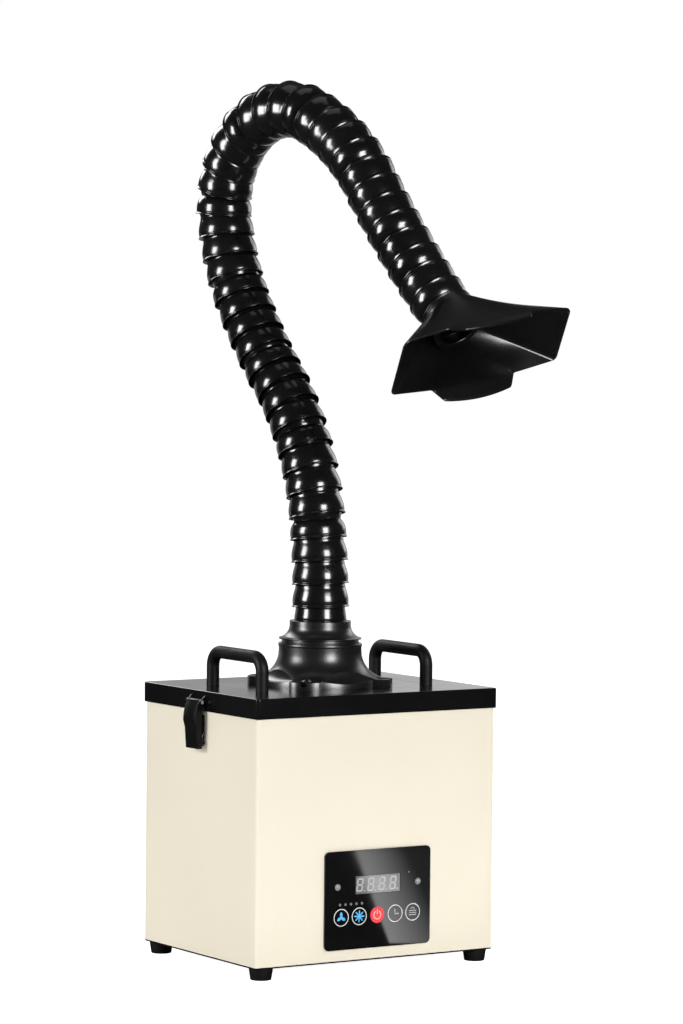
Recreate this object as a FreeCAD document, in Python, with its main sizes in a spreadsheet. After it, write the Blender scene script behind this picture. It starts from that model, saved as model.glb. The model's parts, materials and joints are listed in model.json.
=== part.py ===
import FreeCAD, Part
import math
import os
import types

import Sketcher
from FreeCAD import Placement, Rotation, Vector

# Bench-top fume extractor. Millimetres and degrees, +Z up, the front looks along -Y.
# The origin is the centre of the four feet, on the bench.

DRIVING_SIZES = {
    # Cabinet of folded sheet steel
    "cabinet_width": 270.0,
    "cabinet_depth": 212.0,
    "wall_height": 250.5,
    "wall": 1.5,
    "cabinet_corner": 3.0,
    "base_sheet": 1.5,
    "overrun": 2.0,
    "fit_gap": 0.3,
    "running_gap": 0.05,
    # Rubber feet and their screws
    "foot_height": 11.5,
    "foot_top_radius": 11.5,
    "foot_bottom_radius": 9.75,
    "foot_inset_across": 13.0,
    "foot_inset_along": 12.0,
    "foot_recess_depth": 6.0,
    "foot_recess_radius": 5.5,
    "screw_radius": 2.5,
    "screw_hole_gap": 0.1,
    "screw_head_radius": 4.5,
    "screw_head_height": 3.0,
    "screw_tail": 4.0,
    # Control fascia, display, board
    "fascia_width": 120.0,
    "fascia_height": 94.5,
    "fascia_rise": 10.6,
    "fascia_thickness": 2.0,
    "fascia_corner": 5.0,
    "display_width": 50.3,
    "display_height": 17.0,
    "display_depth": 12.6,
    "display_rise": 63.0,
    "display_recess": 0.3,
    "stud_radius": 3.25,
    "stud_crown_height": 1.6,
    "stud_shank_radius": 1.5,
    "stud_spacing": 91.4,
    "stud_rise": 71.0,
    "board_width": 112.0,
    "board_height": 84.0,
    "board_thickness": 1.6,
    "standoff_radius": 3.0,
    "standoff_inset": 5.0,
    # Back of the cabinet: power inlet, rocker switch, exhaust grille
    "inlet_inset": 37.0,
    "inlet_rise": 32.0,
    "inlet_flange_width": 50.0,
    "inlet_flange_height": 24.0,
    "inlet_flange_thickness": 3.0,
    "inlet_body_width": 28.0,
    "inlet_body_height": 20.5,
    "inlet_socket_width": 24.2,
    "inlet_socket_height": 16.3,
    "inlet_socket_depth": 16.5,
    "inlet_back_wall": 3.0,
    "inlet_screw_spacing": 40.0,
    "inlet_screw_radius": 1.5,
    "inlet_screw_head_radius": 3.0,
    "inlet_screw_head_height": 2.0,
    "inlet_screw_tail": 4.0,
    "pin_thickness": 2.0,
    "pin_height": 5.0,
    "pin_length": 13.0,
    "pin_spacing": 14.0,
    "pin_rise": 4.0,
    "switch_gap": 34.0,
    "switch_frame_width": 21.0,
    "switch_frame_height": 27.0,
    "switch_frame_thickness": 2.0,
    "switch_body_width": 18.6,
    "switch_body_height": 22.0,
    "switch_body_depth": 13.0,
    "rocker_radius": 8.6,
    "rocker_width": 13.0,
    "rocker_dip": 1.6,
    "rocker_tilt": 7.0,
    "rocker_pin_radius": 1.2,
    "rocker_pin_length": 1.8,
    "rocker_setback": 1.0,
    "grille_height": 76.0,
    "grille_thickness": 2.0,
    "grille_corner": 4.0,
    "grille_margin": 27.0,
    "grille_gap": 21.0,
    "grille_rise": 62.0,
    "grille_border": 9.0,
    "slot_width": 5.0,
    "slot_margin": 12.4,
    "slot_length": 52.0,
    # Power supply and filter shelf
    "supply_width": 52.0,
    "supply_depth": 112.0,
    "supply_height": 38.0,
    "supply_wall_gap": 3.5,
    "supply_back_gap": 32.5,
    "supply_notch_height": 14.0,
    "supply_notch_depth": 16.0,
    "shelf_rise": 109.0,
    "shelf_sheet": 1.5,
    "shelf_side_gap": 0.4,
    "bracket_leg": 14.0,
    "bracket_sheet": 1.5,
    "bracket_length": 176.0,
    # Filters
    "filter_side_gap": 3.0,
    "filter_seal_height": 3.0,
    "filter_seal_width": 10.0,
    "particle_filter_height": 62.0,
    "carbon_filter_height": 36.0,
    "prefilter_height": 24.0,
    "filter_frame": 6.0,
    "pleat_depth": 3.0,
    # Fan
    "fan_side_gap": 45.5,
    "fan_back_gap": 16.5,
    "motor_flange_radius": 44.0,
    "motor_flange_height": 4.0,
    "post_radius": 14.0,
    "post_height": 34.0,
    "bearing_radius": 11.0,
    "bearing_height": 7.0,
    "shaft_radius": 4.0,
    "shaft_gap": 0.02,
    "stator_radius": 33.0,
    "stator_height": 22.0,
    "stator_rise": 6.0,
    "cup_gap": 1.5,
    "cup_wall": 3.5,
    "cup_top": 4.0,
    "shoulder_radius": 6.0,
    "impeller_radius": 66.0,
    "impeller_disc": 2.0,
    "blade_height": 38.0,
    "blade_thickness": 2.0,
    "blade_inner_radius": 30.0,
    "blade_tip_along": 44.0,
    "blade_tip_across": 47.0,
    "blade_curve": 70.0,
    "shroud_inner_radius": 45.0,
    "nozzle_radius": 40.5,
    "nozzle_wall": 1.5,
    "nozzle_clear": 0.8,
    "nozzle_flange_radius": 62.0,
    "nozzle_flange": 2.0,
    # Lid pan, gasket, handles
    "lid_sheet": 1.5,
    "lid_gap": 0.35,
    "lid_skirt": 19.5,
    "lid_corner": 4.0,
    "lid_edge": 1.2,
    "lid_gasket_height": 2.0,
    "lid_gasket_width": 9.0,
    "duct_radius": 44.0,
    "handle_radius": 6.25,
    "handle_inset": 41.0,
    "handle_spacing": 92.0,
    "handle_height": 39.0,
    "handle_bend": 14.0,
    "handle_hole_depth": 16.0,
    # Latches
    "latch_width": 22.0,
    "latch_pin_drop": 10.5,
    "latch_pin_out": 4.1,
    "latch_pin_radius": 1.5,
    "latch_pin_gap": 0.02,
    "latch_barrel": 2.7,
    "latch_belly_out": 11.0,
    "latch_belly_drop": 18.5,
    "latch_kink_out": 9.2,
    "latch_kink_drop": 25.0,
    "latch_tip_out": 7.7,
    "latch_tip_drop": 45.0,
    "latch_inner_out": 2.5,
    "latch_bow": 40.0,
    "latch_hook": 0.8,
    "latch_hook_play": 0.9,
    "latch_hook_drop": 38.5,
    "latch_hook_height": 3.0,
    "ear_thickness": 2.0,
    "bracket_plate": 1.0,
    "bracket_plate_height": 15.0,
    "strike_plate": 1.6,
    "strike_width": 17.0,
    "strike_top_drop": 13.0,
    "strike_ledge_height": 8.0,
    # Hose flange on the lid
    "flange_base_radius": 58.0,
    "flange_rim": 5.0,
    "flange_neck_radius": 40.4,
    "flange_neck_height": 5.6,
    "flange_height": 39.6,
    "flange_curve": 64.0,
    "flange_bore": 34.0,
    "flange_ledge": 9.0,
    "lug_tip_radius": 72.0,
    "lug_inner_radius": 41.0,
    "lug_width": 28.0,
    "lug_height": 8.0,
    "lug_screw_radius": 63.0,
    "lug_floor": 3.0,
    "lug_pocket_radius": 6.5,
    "scoop_radius": 24.0,
    "scoop_length": 80.0,
    "scoop_height": 21.5,
    "scoop_reach": 72.0,
    "cap_screw_head_radius": 4.25,
    "cap_screw_head_height": 5.0,
    # Swivel washer, collar and retainer
    "spigot_radius": 31.0,
    "washer_radius": 36.3,
    "washer_height": 5.4,
    "collar_rim_height": 1.2,
    "collar_curve": 18.0,
    "collar_top_radius": 30.0,
    "collar_top_height": 18.0,
    "collar_step": 12.5,
    "collar_neck_radius": 26.3,
    "collar_bore": 26.5,
    "retainer_radius": 33.6,
    "retainer_height": 2.0,
    "retainer_groove": 1.5,
    # Ball-and-socket hose segments
    "ball_radius": 24.6,
    "socket_gap": 0.1,
    "segment_pitch": 22.1,
    "first_lip_height": 76.4,
    "hose_bore": 21.0,
    "lip_radius": 28.2,
    "lip_drop": 5.0,
    "lip_edge": 0.6,
    "lip_flare": 27.9,
    "socket_drop": 2.6,
    "barrel_foot_radius": 27.1,
    "barrel_foot_drop": 3.2,
    "barrel_radius": 27.5,
    "barrel_rise": 1.5,
    "barrel_top_radius": 26.8,
    "barrel_top_rise": 6.9,
    "waist_radius": 25.3,
    "waist_drop": 11.7,
    "neck_drop": 9.0,
    "ball_top_rise": 6.0,
    # Hood
    "hood_start": 2.0,
    "hood_start_width": 55.6,
    "hood_depth": 55.0,
    "hood_width": 190.0,
    "hood_end_height": 62.5,
    "hood_middle_width": 94.0,
    "hood_middle_height": 73.0,
    "hood_corner": 7.0,
    "hood_wall": 2.2,
    "lobe_tip_width": 76.0,
    "lobe_reach": 11.6,
    "lobe_rise": 6.0,
    "lobe_bow": 4.0,
    "lobe_corner": 3.0,
}

# Angles: the upright plane of the arm's arch, measured from straight ahead, the hood's roll about the
# hose end, and its tilt on the last ball.
ARCH_ANGLE = 10.3
HOOD_ROLL_ANGLE = 14.4
HOOD_TILT_ANGLE = -9.9

# Where the hood's creases leave its round neck: half the angles of a long panel's middle, of an end
# panel and of a rounded crease.
HOOD_MIDDLE_ANGLE = 26.0
HOOD_END_ANGLE = 27.0
HOOD_CREASE_ANGLE = 4.0
QUARTER_TURN_ANGLE = 90.0

# The arm's bends: how many joints in a row, and the turn at each, positive towards the front.
BEND_COUNTS = (4, 7, 4, 4, 9, 5, 7)
BEND_ANGLES = (-1.8, -4.6, 2.3, 5.2, 13.7, 5.9, -1.2)

# The segment counts of the hose sections that turn as one, from the collar to the hood.
SECTION_COUNTS = (4, 4, 4, 4, 4, 4, 4, 4, 4, 2, 2)

CORNERS = ((-1, -1), (1, -1), (1, 1), (-1, 1))
LUG_COUNT = 4
BLADE_COUNT = 7
SLOT_COUNT = 14

# Plain shares: how nearly parallel counts as along an axis, where the lid's top edges begin, the roundness
# of a lug's nose, and how far a hood lobe is let into the wall behind it.
PARALLEL_SHARE = 0.999
TOP_SHARE = 0.99
LUG_NOSE_SHARE = 0.65
LOBE_TUCK_SHARE = 0.25

X_AXIS, Y_AXIS, Z_AXIS = Vector(1, 0, 0), Vector(0, 1, 0), Vector(0, 0, 1)

doc = FreeCAD.newDocument("fume_extractor")
sheet = doc.addObject("Spreadsheet::Sheet", "sizes")
pieces = {}


class Size:
    """A length together with the spreadsheet formula that gives it."""

    def __init__(self, value, formula):
        self.value = value
        self.formula = formula

    def __float__(self):
        return self.value

    def joined(self, sign, other, value):
        """The size of a sum or product of this size and another size or plain number."""
        text = other.formula if isinstance(other, Size) else repr(float(other))
        return Size(value, "(%s %s %s)" % (self.formula, sign, text))

    def __add__(self, other):
        return self.joined("+", other, self.value + float(other))

    def __sub__(self, other):
        return self.joined("-", other, self.value - float(other))

    def __mul__(self, other):
        return self.joined("*", other, self.value * float(other))

    def __truediv__(self, other):
        return self.joined("/", other, self.value / float(other))

    def __neg__(self):
        return self * -1


def read_sheet():
    """Writes the driving sizes to the sheet and gives them back by name."""
    for row, (name, value) in enumerate(DRIVING_SIZES.items(), start=1):
        cell = "A%d" % row
        sheet.set(cell, str(value))
        sheet.setAlias(cell, name)
    doc.recompute()
    return {name: Size(float(sheet.get(name)), "sizes." + name) for name in DRIVING_SIZES}


s = types.SimpleNamespace(**read_sheet())
ZERO = s.wall * 0


def bind(item, **formulas):
    """Binds properties of a document object to sizes; a double underscore stands for a dot."""
    for name, size in formulas.items():
        item.setExpression(name.replace("__", "."), size.formula)
    return item


def place(item, x=ZERO, y=ZERO, z=ZERO, turn=None):
    """Binds an object's place to sizes, after turning it."""
    if turn is not None:
        item.Placement = Placement(Vector(), turn)
    return bind(item, Placement__Base__x=x, Placement__Base__y=y, Placement__Base__z=z)


def box(name, low, spans):
    """A box from its lowest corner and its three spans."""
    item = doc.addObject("Part::Box", name)
    bind(item, Length=spans[0], Width=spans[1], Height=spans[2])
    return place(item, *low)


def rod(name, radius, height, base, turn=None):
    """A round bar from the centre of its base, upright unless it is turned."""
    item = doc.addObject("Part::Cylinder", name)
    bind(item, Radius=radius, Height=height)
    return place(item, *base, turn=turn)


def fuse(name, *items):
    """Several objects as one solid."""
    item = doc.addObject("Part::MultiFuse", name)
    item.Shapes = list(items)
    return item


def cut(name, base, *tools):
    """An object with others taken out of it."""
    item = doc.addObject("Part::Cut", name)
    item.Base = base
    item.Tool = tools[0] if len(tools) == 1 else fuse(name + "_tools", *tools)
    return item


def keep(node, item):
    """Makes an object the piece that a node's file holds."""
    item.Label = node
    pieces[node] = item
    return item


def keep_shape(node, shape, placement=None):
    """Makes a worked-out shape the piece that a node's file holds."""
    item = doc.addObject("Part::Feature", node)
    item.Shape = shape
    item.Placement = placement or Placement()
    return keep(node, item)


def keep_copies(node, master, placements):
    """Makes a group of separate copies of one object the piece that a node's file holds."""
    doc.recompute()
    solids = []
    for placement in placements:
        copy = master.Shape.copy()
        copy.Placement = placement.multiply(master.Shape.Placement)
        solids.append(copy)
    return keep_shape(node, Part.makeCompound(solids))


def moved(x=0.0, y=0.0, z=0.0, turn=None):
    """A placement from plain numbers or sizes."""
    return Placement(Vector(float(x), float(y), float(z)), turn or Rotation())


def new_body(name):
    """An empty body."""
    return doc.addObject("PartDesign::Body", name)


def new_sketch(body, role, lift=ZERO):
    """A sketch on one of its body's own origin planes, lifted along the plane's normal."""
    item = body.newObject("Sketcher::SketchObject", body.Name + "_sketch")
    plane = next(feature for feature in body.Origin.OriginFeatures if feature.Role == role)
    item.AttachmentSupport = [(plane, "")]
    item.MapMode = "FlatFace"
    bind(item, AttachmentOffset__Base__z=lift)
    return item


def hold(item, edge, point, x, y):
    """Ties one point of a sketch to the sketch's origin by two sizes."""
    for kind, axis, size in (("DistanceX", -2, x), ("DistanceY", -1, y)):
        if size is ZERO:
            item.addConstraint(Sketcher.Constraint("PointOnObject", edge, point, axis))
        else:
            index = item.addConstraint(Sketcher.Constraint(kind, -1, 1, edge, point, float(size)))
            bind(item, **{"Constraints[%d]" % index: size})


def arc_between(start, end, radius):
    """The short arc from one point to another; a positive radius turns left on the way."""
    chord = end - start
    side = Vector(-chord.y, chord.x, 0).normalize()
    rise = math.sqrt(radius * radius - chord.Length * chord.Length / 4)
    middle = (start + end) * 0.5
    centre = middle + side * math.copysign(rise, radius)
    crown = centre + (middle - centre).normalize() * abs(radius)
    return Part.Arc(start, crown, end)


def draw(item, corners, closed=True):
    """An outline through corners (x, y); a third size is the radius of the arc that ends there."""
    points = [Vector(float(corner[0]), float(corner[1]), 0) for corner in corners]
    count = len(corners)
    first = 0 if closed else 1
    for index in range(first, count):
        start, end = points[index - 1], points[index]
        if len(corners[index]) == 3:
            edge = item.addGeometry(arc_between(start, end, float(corners[index][2])))
            swapped = float(corners[index][2]) < 0
            radius = corners[index][2] * (-1 if swapped else 1)
            tie = item.addConstraint(Sketcher.Constraint("Radius", edge, float(radius)))
            bind(item, **{"Constraints[%d]" % tie: radius})
        else:
            edge = item.addGeometry(Part.LineSegment(start, end))
            swapped = False
        tail, head = (2, 1) if swapped else (1, 2)
        if index > first:
            item.addConstraint(Sketcher.Constraint("Coincident", *last, edge, tail))
        elif not closed:
            hold(item, edge, tail, *corners[index - 1][:2])
        else:
            first_tail = (edge, tail)
        hold(item, edge, head, *corners[index][:2])
        last = (edge, head)
    if closed:
        item.addConstraint(Sketcher.Constraint("Coincident", *last, *first_tail))
    return item


def draw_circle(item, x, y, radius):
    """A circle in a sketch."""
    centre = Vector(float(x), float(y), 0)
    edge = item.addGeometry(Part.Circle(centre, Z_AXIS, float(radius)))
    hold(item, edge, 3, x, y)
    index = item.addConstraint(Sketcher.Constraint("Radius", edge, float(radius)))
    bind(item, **{"Constraints[%d]" % index: radius})
    return item


def rectangle(width, height, x=ZERO, y=ZERO):
    """The corners of a rectangle round a centre."""
    return [(x + width / 2 * i, y + height / 2 * j) for i, j in CORNERS]


def pad(body, sketch, length, both_ways=False):
    """Adds a sketch's area, drawn out along its normal."""
    item = body.newObject("PartDesign::Pad", body.Name + "_pad")
    item.Profile = sketch
    if both_ways:
        item.SideType = "Symmetric"
    return bind(item, Length=length)


def pocket(body, sketch, length, along_normal=False):
    """Takes a sketch's area out, against its normal unless told otherwise."""
    doc.recompute()
    before = body.Shape.Volume
    item = body.newObject("PartDesign::Pocket", body.Name + "_pocket")
    item.Profile = sketch
    item.Reversed = along_normal
    bind(item, Length=length)
    doc.recompute()
    if not body.Shape.Volume < before:
        raise RuntimeError("a pocket of %s cuts nothing" % body.Name)
    return item


def round_edges(body, radius, wanted):
    """Rounds the body's edges that a test picks."""
    doc.recompute()
    feature = body.Tip
    names = ["Edge%d" % i for i, edge in enumerate(feature.Shape.Edges, start=1) if wanted(edge)]
    item = body.newObject("PartDesign::Fillet", body.Name + "_fillet")
    item.Base = (feature, names)
    return bind(item, Radius=radius)


def runs_along(axis):
    """A test for straight edges along an axis."""
    def test(edge):
        if not isinstance(edge.Curve, Part.Line):
            return False
        return abs(edge.tangentAt(edge.FirstParameter).dot(axis)) > PARALLEL_SHARE
    return test


def plate(name, width, depth, thickness, base, corner):
    """A flat sheet with round corners, from the centre of its underside."""
    body = new_body(name)
    pad(body, draw(new_sketch(body, "XY_Plane"), rectangle(width, depth)), thickness)
    round_edges(body, corner, runs_along(Z_AXIS))
    return place(body, *base)


def turned(name, corners):
    """A body turned about its Z axis from an outline of (radius, height) corners."""
    body = new_body(name)
    sketch = draw(new_sketch(body, "XZ_Plane"), corners)
    item = body.newObject("PartDesign::Revolution", name + "_revolution")
    item.Profile = sketch
    item.ReferenceAxis = (sketch, ["V_Axis"])
    return body


def drum(name, inner, outer, height, base):
    """A plain ring from the centre of its underside."""
    return place(turned(name, [(inner, ZERO), (outer, ZERO), (outer, height), (inner, height)]), *base)


def pan_screw(name, radius, head_radius, head_height, tail):
    """A screw whose head stands above its seat at height zero."""
    return turned(name, [(ZERO, -tail), (radius, -tail), (radius, ZERO), (head_radius, ZERO),
                         (head_radius, head_height / 2), (radius, head_height), (ZERO, head_height)])


# Levels and half spans that most pieces share
base_bottom = s.foot_height
wall_bottom = base_bottom + s.base_sheet
wall_top = wall_bottom + s.wall_height
lid_under = wall_top + s.lid_gasket_height
lid_top = lid_under + s.lid_sheet
half_width = s.cabinet_width / 2
half_depth = s.cabinet_depth / 2
inner_width = s.cabinet_width - s.wall * 2
inner_depth = s.cabinet_depth - s.wall * 2
wall_inside = half_depth - s.wall
inlet_x = half_width - s.inlet_inset
handle_x = half_width - s.handle_inset
fan_x = inner_width / 2 - s.fan_side_gap - s.impeller_radius
fan_y = wall_inside - s.fan_back_gap - s.impeller_radius

OUT_OF_FRONT = Rotation(X_AXIS, 90)
OUT_OF_BACK = Rotation(X_AXIS, -90)
SEAT_DOWN = Rotation(X_AXIS, 180)


def cabinet():
    """The four walls with the display window, and the openings for the pieces at the back."""
    body = new_body("walls")
    pad(body, draw(new_sketch(body, "XY_Plane"), rectangle(s.cabinet_width, s.cabinet_depth)), s.wall_height)
    round_edges(body, s.cabinet_corner, runs_along(Z_AXIS))
    pocket(body, draw(new_sketch(body, "XY_Plane"), rectangle(inner_width, inner_depth)), s.wall_height, True)
    place(body, z=wall_bottom)
    through = s.wall + s.overrun * 2
    window = box("window", (-s.display_width / 2 - s.fit_gap, -half_depth - s.overrun,
                            wall_bottom + s.display_rise - s.fit_gap),
                 (s.display_width + s.fit_gap * 2, through, s.display_height + s.fit_gap * 2))
    back_start = wall_inside - s.overrun
    inlet_hole = box("inlet_hole", (inlet_x - s.inlet_body_width / 2 - s.fit_gap, back_start,
                                    wall_bottom + s.inlet_rise - s.inlet_body_height / 2 - s.fit_gap),
                     (s.inlet_body_width + s.fit_gap * 2, through, s.inlet_body_height + s.fit_gap * 2))
    switch_hole = box("switch_hole", (inlet_x - s.switch_body_width / 2 - s.fit_gap, back_start,
                                      switch_level - s.switch_body_height / 2 - s.fit_gap),
                      (s.switch_body_width + s.fit_gap * 2, through, s.switch_body_height + s.fit_gap * 2))
    vent = box("vent", (grille_x - grille_width / 2 + s.grille_border, back_start,
                        wall_bottom + s.grille_rise - s.grille_height / 2 + s.grille_border),
               (grille_width - s.grille_border * 2, through, s.grille_height - s.grille_border * 2))
    stud_holes = [rod("stud_hole", s.stud_shank_radius + s.screw_hole_gap, through,
                      (s.stud_spacing / 2 * side, -wall_inside + s.overrun, wall_bottom + s.stud_rise),
                      OUT_OF_FRONT) for side in (-1, 1)]
    screw_holes = [rod("inlet_screw_hole", s.inlet_screw_radius + s.screw_hole_gap, through,
                       (inlet_x + s.inlet_screw_spacing / 2 * side, back_start,
                        wall_bottom + s.inlet_rise), OUT_OF_BACK) for side in (-1, 1)]
    vent_holes = [rod("vent_screw_hole", s.inlet_screw_radius + s.screw_hole_gap, through,
                      (x, back_start, z), OUT_OF_BACK) for x, z in grille_screw_places]
    keep("cabinet_shell", cut("shell", body, window, inlet_hole, switch_hole, vent, *stud_holes,
                              *screw_holes, *vent_holes))


def feet():
    """The base plate, the four tapered rubber feet and the screws that hold them."""
    across = half_width - s.foot_inset_across
    along = half_depth - s.foot_inset_along
    places = [(across * i, along * j) for i, j in CORNERS]
    hole_radius = s.screw_radius + s.screw_hole_gap
    sheet_body = plate("base_sheet_body", s.cabinet_width, s.cabinet_depth, s.base_sheet,
                       (ZERO, ZERO, base_bottom), s.cabinet_corner)
    holes = [rod("foot_hole", hole_radius, s.base_sheet + s.overrun * 2, (x, y, base_bottom - s.overrun))
             for x, y in places]
    keep("base_plate", cut("base", sheet_body, *holes))
    foot = turned("foot", [(s.foot_recess_radius, ZERO), (s.foot_bottom_radius, ZERO),
                           (s.foot_top_radius, s.foot_height), (hole_radius, s.foot_height),
                           (hole_radius, s.foot_recess_depth), (s.foot_recess_radius, s.foot_recess_depth)])
    keep_copies("rubber_feet", foot, [moved(x, y) for x, y in places])
    screw = pan_screw("foot_screw", s.screw_radius, s.screw_head_radius, s.screw_head_height,
                      s.foot_height - s.foot_recess_depth + s.base_sheet + s.screw_tail)
    keep_copies("foot_screws", screw, [moved(x, y, s.foot_recess_depth, SEAT_DOWN) for x, y in places])


def front_panel():
    """The black control fascia, its studs and display, and the board behind them."""
    middle = wall_bottom + s.fascia_rise + s.fascia_height / 2
    body = new_body("fascia")
    pad(body, draw(new_sketch(body, "XZ_Plane", half_depth),
                   rectangle(s.fascia_width, s.fascia_height, ZERO, middle)), s.fascia_thickness)
    round_edges(body, s.fascia_corner, runs_along(Y_AXIS))
    window_middle = wall_bottom + s.display_rise + s.display_height / 2
    sketch = draw(new_sketch(body, "XZ_Plane", half_depth),
                  rectangle(s.display_width + s.fit_gap * 2, s.display_height + s.fit_gap * 2,
                            ZERO, window_middle))
    pocket(body, sketch, s.fascia_thickness, True)
    holes = new_sketch(body, "XZ_Plane", half_depth)
    stud_level = wall_bottom + s.stud_rise
    for side in (-1, 1):
        draw_circle(holes, s.stud_spacing / 2 * side, stud_level, s.stud_shank_radius + s.screw_hole_gap)
    pocket(body, holes, s.fascia_thickness, True)
    keep("control_fascia", body)

    board_front = -half_depth - s.fascia_thickness + s.display_recess + s.display_depth
    keep("display_module", box("display", (-s.display_width / 2, board_front - s.display_depth,
                                           wall_bottom + s.display_rise),
                               (s.display_width, s.display_depth, s.display_height)))
    board_low = middle - s.board_height / 2
    board_body = box("board", (-s.board_width / 2, board_front, board_low),
                     (s.board_width, s.board_thickness, s.board_height))
    keep("control_board", board_body)

    shank = s.fascia_thickness + s.wall + s.screw_tail
    crown = s.stud_crown_height
    stud_cap = (s.stud_radius * s.stud_radius + crown * crown) / (crown * 2)
    stud = turned("stud", [(ZERO, -shank), (s.stud_shank_radius, -shank), (s.stud_shank_radius, ZERO),
                           (s.stud_radius, ZERO), (ZERO, crown, stud_cap)])
    keep_copies("fascia_studs", stud, [moved(s.stud_spacing / 2 * side, -half_depth - s.fascia_thickness,
                                             stud_level, OUT_OF_FRONT) for side in (-1, 1)])
    post_length = board_front + wall_inside
    post = rod("standoff", s.standoff_radius, post_length, (ZERO, ZERO, ZERO))
    reach = s.board_width / 2 - s.standoff_inset
    climb = s.board_height / 2 - s.standoff_inset
    keep_copies("board_standoffs", post, [moved(reach * i, board_front, middle + climb * j, OUT_OF_FRONT)
                                          for i, j in CORNERS])


def power_entry():
    """The power inlet with its pins and screws, and the rocker switch above it."""
    level = wall_bottom + s.inlet_rise
    flange = box("inlet_flange", (inlet_x - s.inlet_flange_width / 2, half_depth,
                                  level - s.inlet_flange_height / 2),
                 (s.inlet_flange_width, s.inlet_flange_thickness, s.inlet_flange_height))
    face = half_depth + s.inlet_flange_thickness
    depth = s.inlet_socket_depth + s.inlet_back_wall
    block = box("inlet_block", (inlet_x - s.inlet_body_width / 2, face - depth,
                                level - s.inlet_body_height / 2),
                (s.inlet_body_width, depth, s.inlet_body_height))
    socket = box("inlet_socket", (inlet_x - s.inlet_socket_width / 2, face - s.inlet_socket_depth,
                                  level - s.inlet_socket_height / 2),
                 (s.inlet_socket_width, s.inlet_socket_depth + s.overrun, s.inlet_socket_height))
    sides = [inlet_x + s.inlet_screw_spacing / 2 * side for side in (-1, 1)]
    holes = [rod("flange_hole", s.inlet_screw_radius + s.screw_hole_gap,
                 s.inlet_flange_thickness + s.overrun * 2, (x, half_depth - s.overrun, level), OUT_OF_BACK)
             for x in sides]
    keep("power_inlet", cut("inlet", fuse("inlet_solid", flange, block), socket, *holes))

    pin = box("inlet_pin", (-s.pin_thickness / 2, ZERO, -s.pin_height / 2),
              (s.pin_thickness, s.pin_length, s.pin_height))
    root = face - s.inlet_socket_depth
    keep_copies("inlet_pins", pin, [moved(inlet_x - s.pin_spacing / 2, root, level - s.pin_rise / 2),
                                    moved(inlet_x, root, level + s.pin_rise / 2),
                                    moved(inlet_x + s.pin_spacing / 2, root, level - s.pin_rise / 2)])
    screw = pan_screw("inlet_screw", s.inlet_screw_radius, s.inlet_screw_head_radius,
                      s.inlet_screw_head_height, s.inlet_flange_thickness + s.inlet_screw_tail)
    keep_copies("inlet_screws", screw, [moved(x, face, level, OUT_OF_BACK) for x in sides])

    frame = box("switch_bezel", (inlet_x - s.switch_frame_width / 2, half_depth,
                                 switch_level - s.switch_frame_height / 2),
                (s.switch_frame_width, s.switch_frame_thickness, s.switch_frame_height))
    switch_face = half_depth + s.switch_frame_thickness
    bowl_back = switch_face - s.switch_body_depth
    well = box("switch_well", (inlet_x - s.switch_body_width / 2, bowl_back,
                               switch_level - s.switch_body_height / 2),
               (s.switch_body_width, s.switch_body_depth, s.switch_body_height))
    pivot = switch_face - s.rocker_setback
    bowl = rod("rocker_bowl", s.rocker_radius + s.fit_gap, s.rocker_width + s.fit_gap * 2,
               (inlet_x - s.rocker_width / 2 - s.fit_gap, pivot, switch_level), Rotation(Y_AXIS, 90))
    pin_span = s.rocker_width + s.rocker_pin_length * 2
    bushes = rod("rocker_bushes", s.rocker_pin_radius + s.running_gap, pin_span + s.fit_gap * 2,
                 (inlet_x - pin_span / 2 - s.fit_gap, pivot, switch_level), Rotation(Y_AXIS, 90))
    keep("switch_frame", cut("switch", fuse("switch_solid", frame, well), bowl, bushes))

    width, radius, dip = float(s.rocker_width), float(s.rocker_radius), float(s.rocker_dip)
    key = Part.makeCylinder(radius, width, Vector(-width / 2, 0, 0), X_AXIS)
    hollow = key
    for side in (-1, 1):
        slab = Part.makeBox(2 * width, 2 * radius, 4 * radius, Vector(-width, dip, -2 * radius))
        slab.rotate(Vector(0, dip, 0), X_AXIS, tilt * side)
        hollow = hollow.common(slab)
    span = float(pin_span)
    pins = Part.makeCylinder(float(s.rocker_pin_radius), span, Vector(-span / 2, 0, 0), X_AXIS)
    keep_shape("switch_rocker", key.cut(hollow).fuse(pins).removeSplitter(),
               moved(inlet_x, pivot, switch_level, Rotation(X_AXIS, tilt)))


tilt = float(s.rocker_tilt)
switch_level = wall_bottom + s.inlet_rise + s.switch_gap
grille_level = wall_bottom + s.grille_rise
grille_left = -half_width + s.grille_margin
grille_right = inlet_x - s.inlet_flange_width / 2 - s.grille_gap
grille_width = grille_right - grille_left
grille_x = (grille_left + grille_right) / 2
slot_pitch = (grille_width - s.slot_margin * 2) / (SLOT_COUNT - 1)
grille_screw_places = [(grille_x + (grille_width - s.grille_border) / 2 * i,
                        grille_level + (s.grille_height - s.grille_border) / 2 * j) for i, j in CORNERS]


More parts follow.
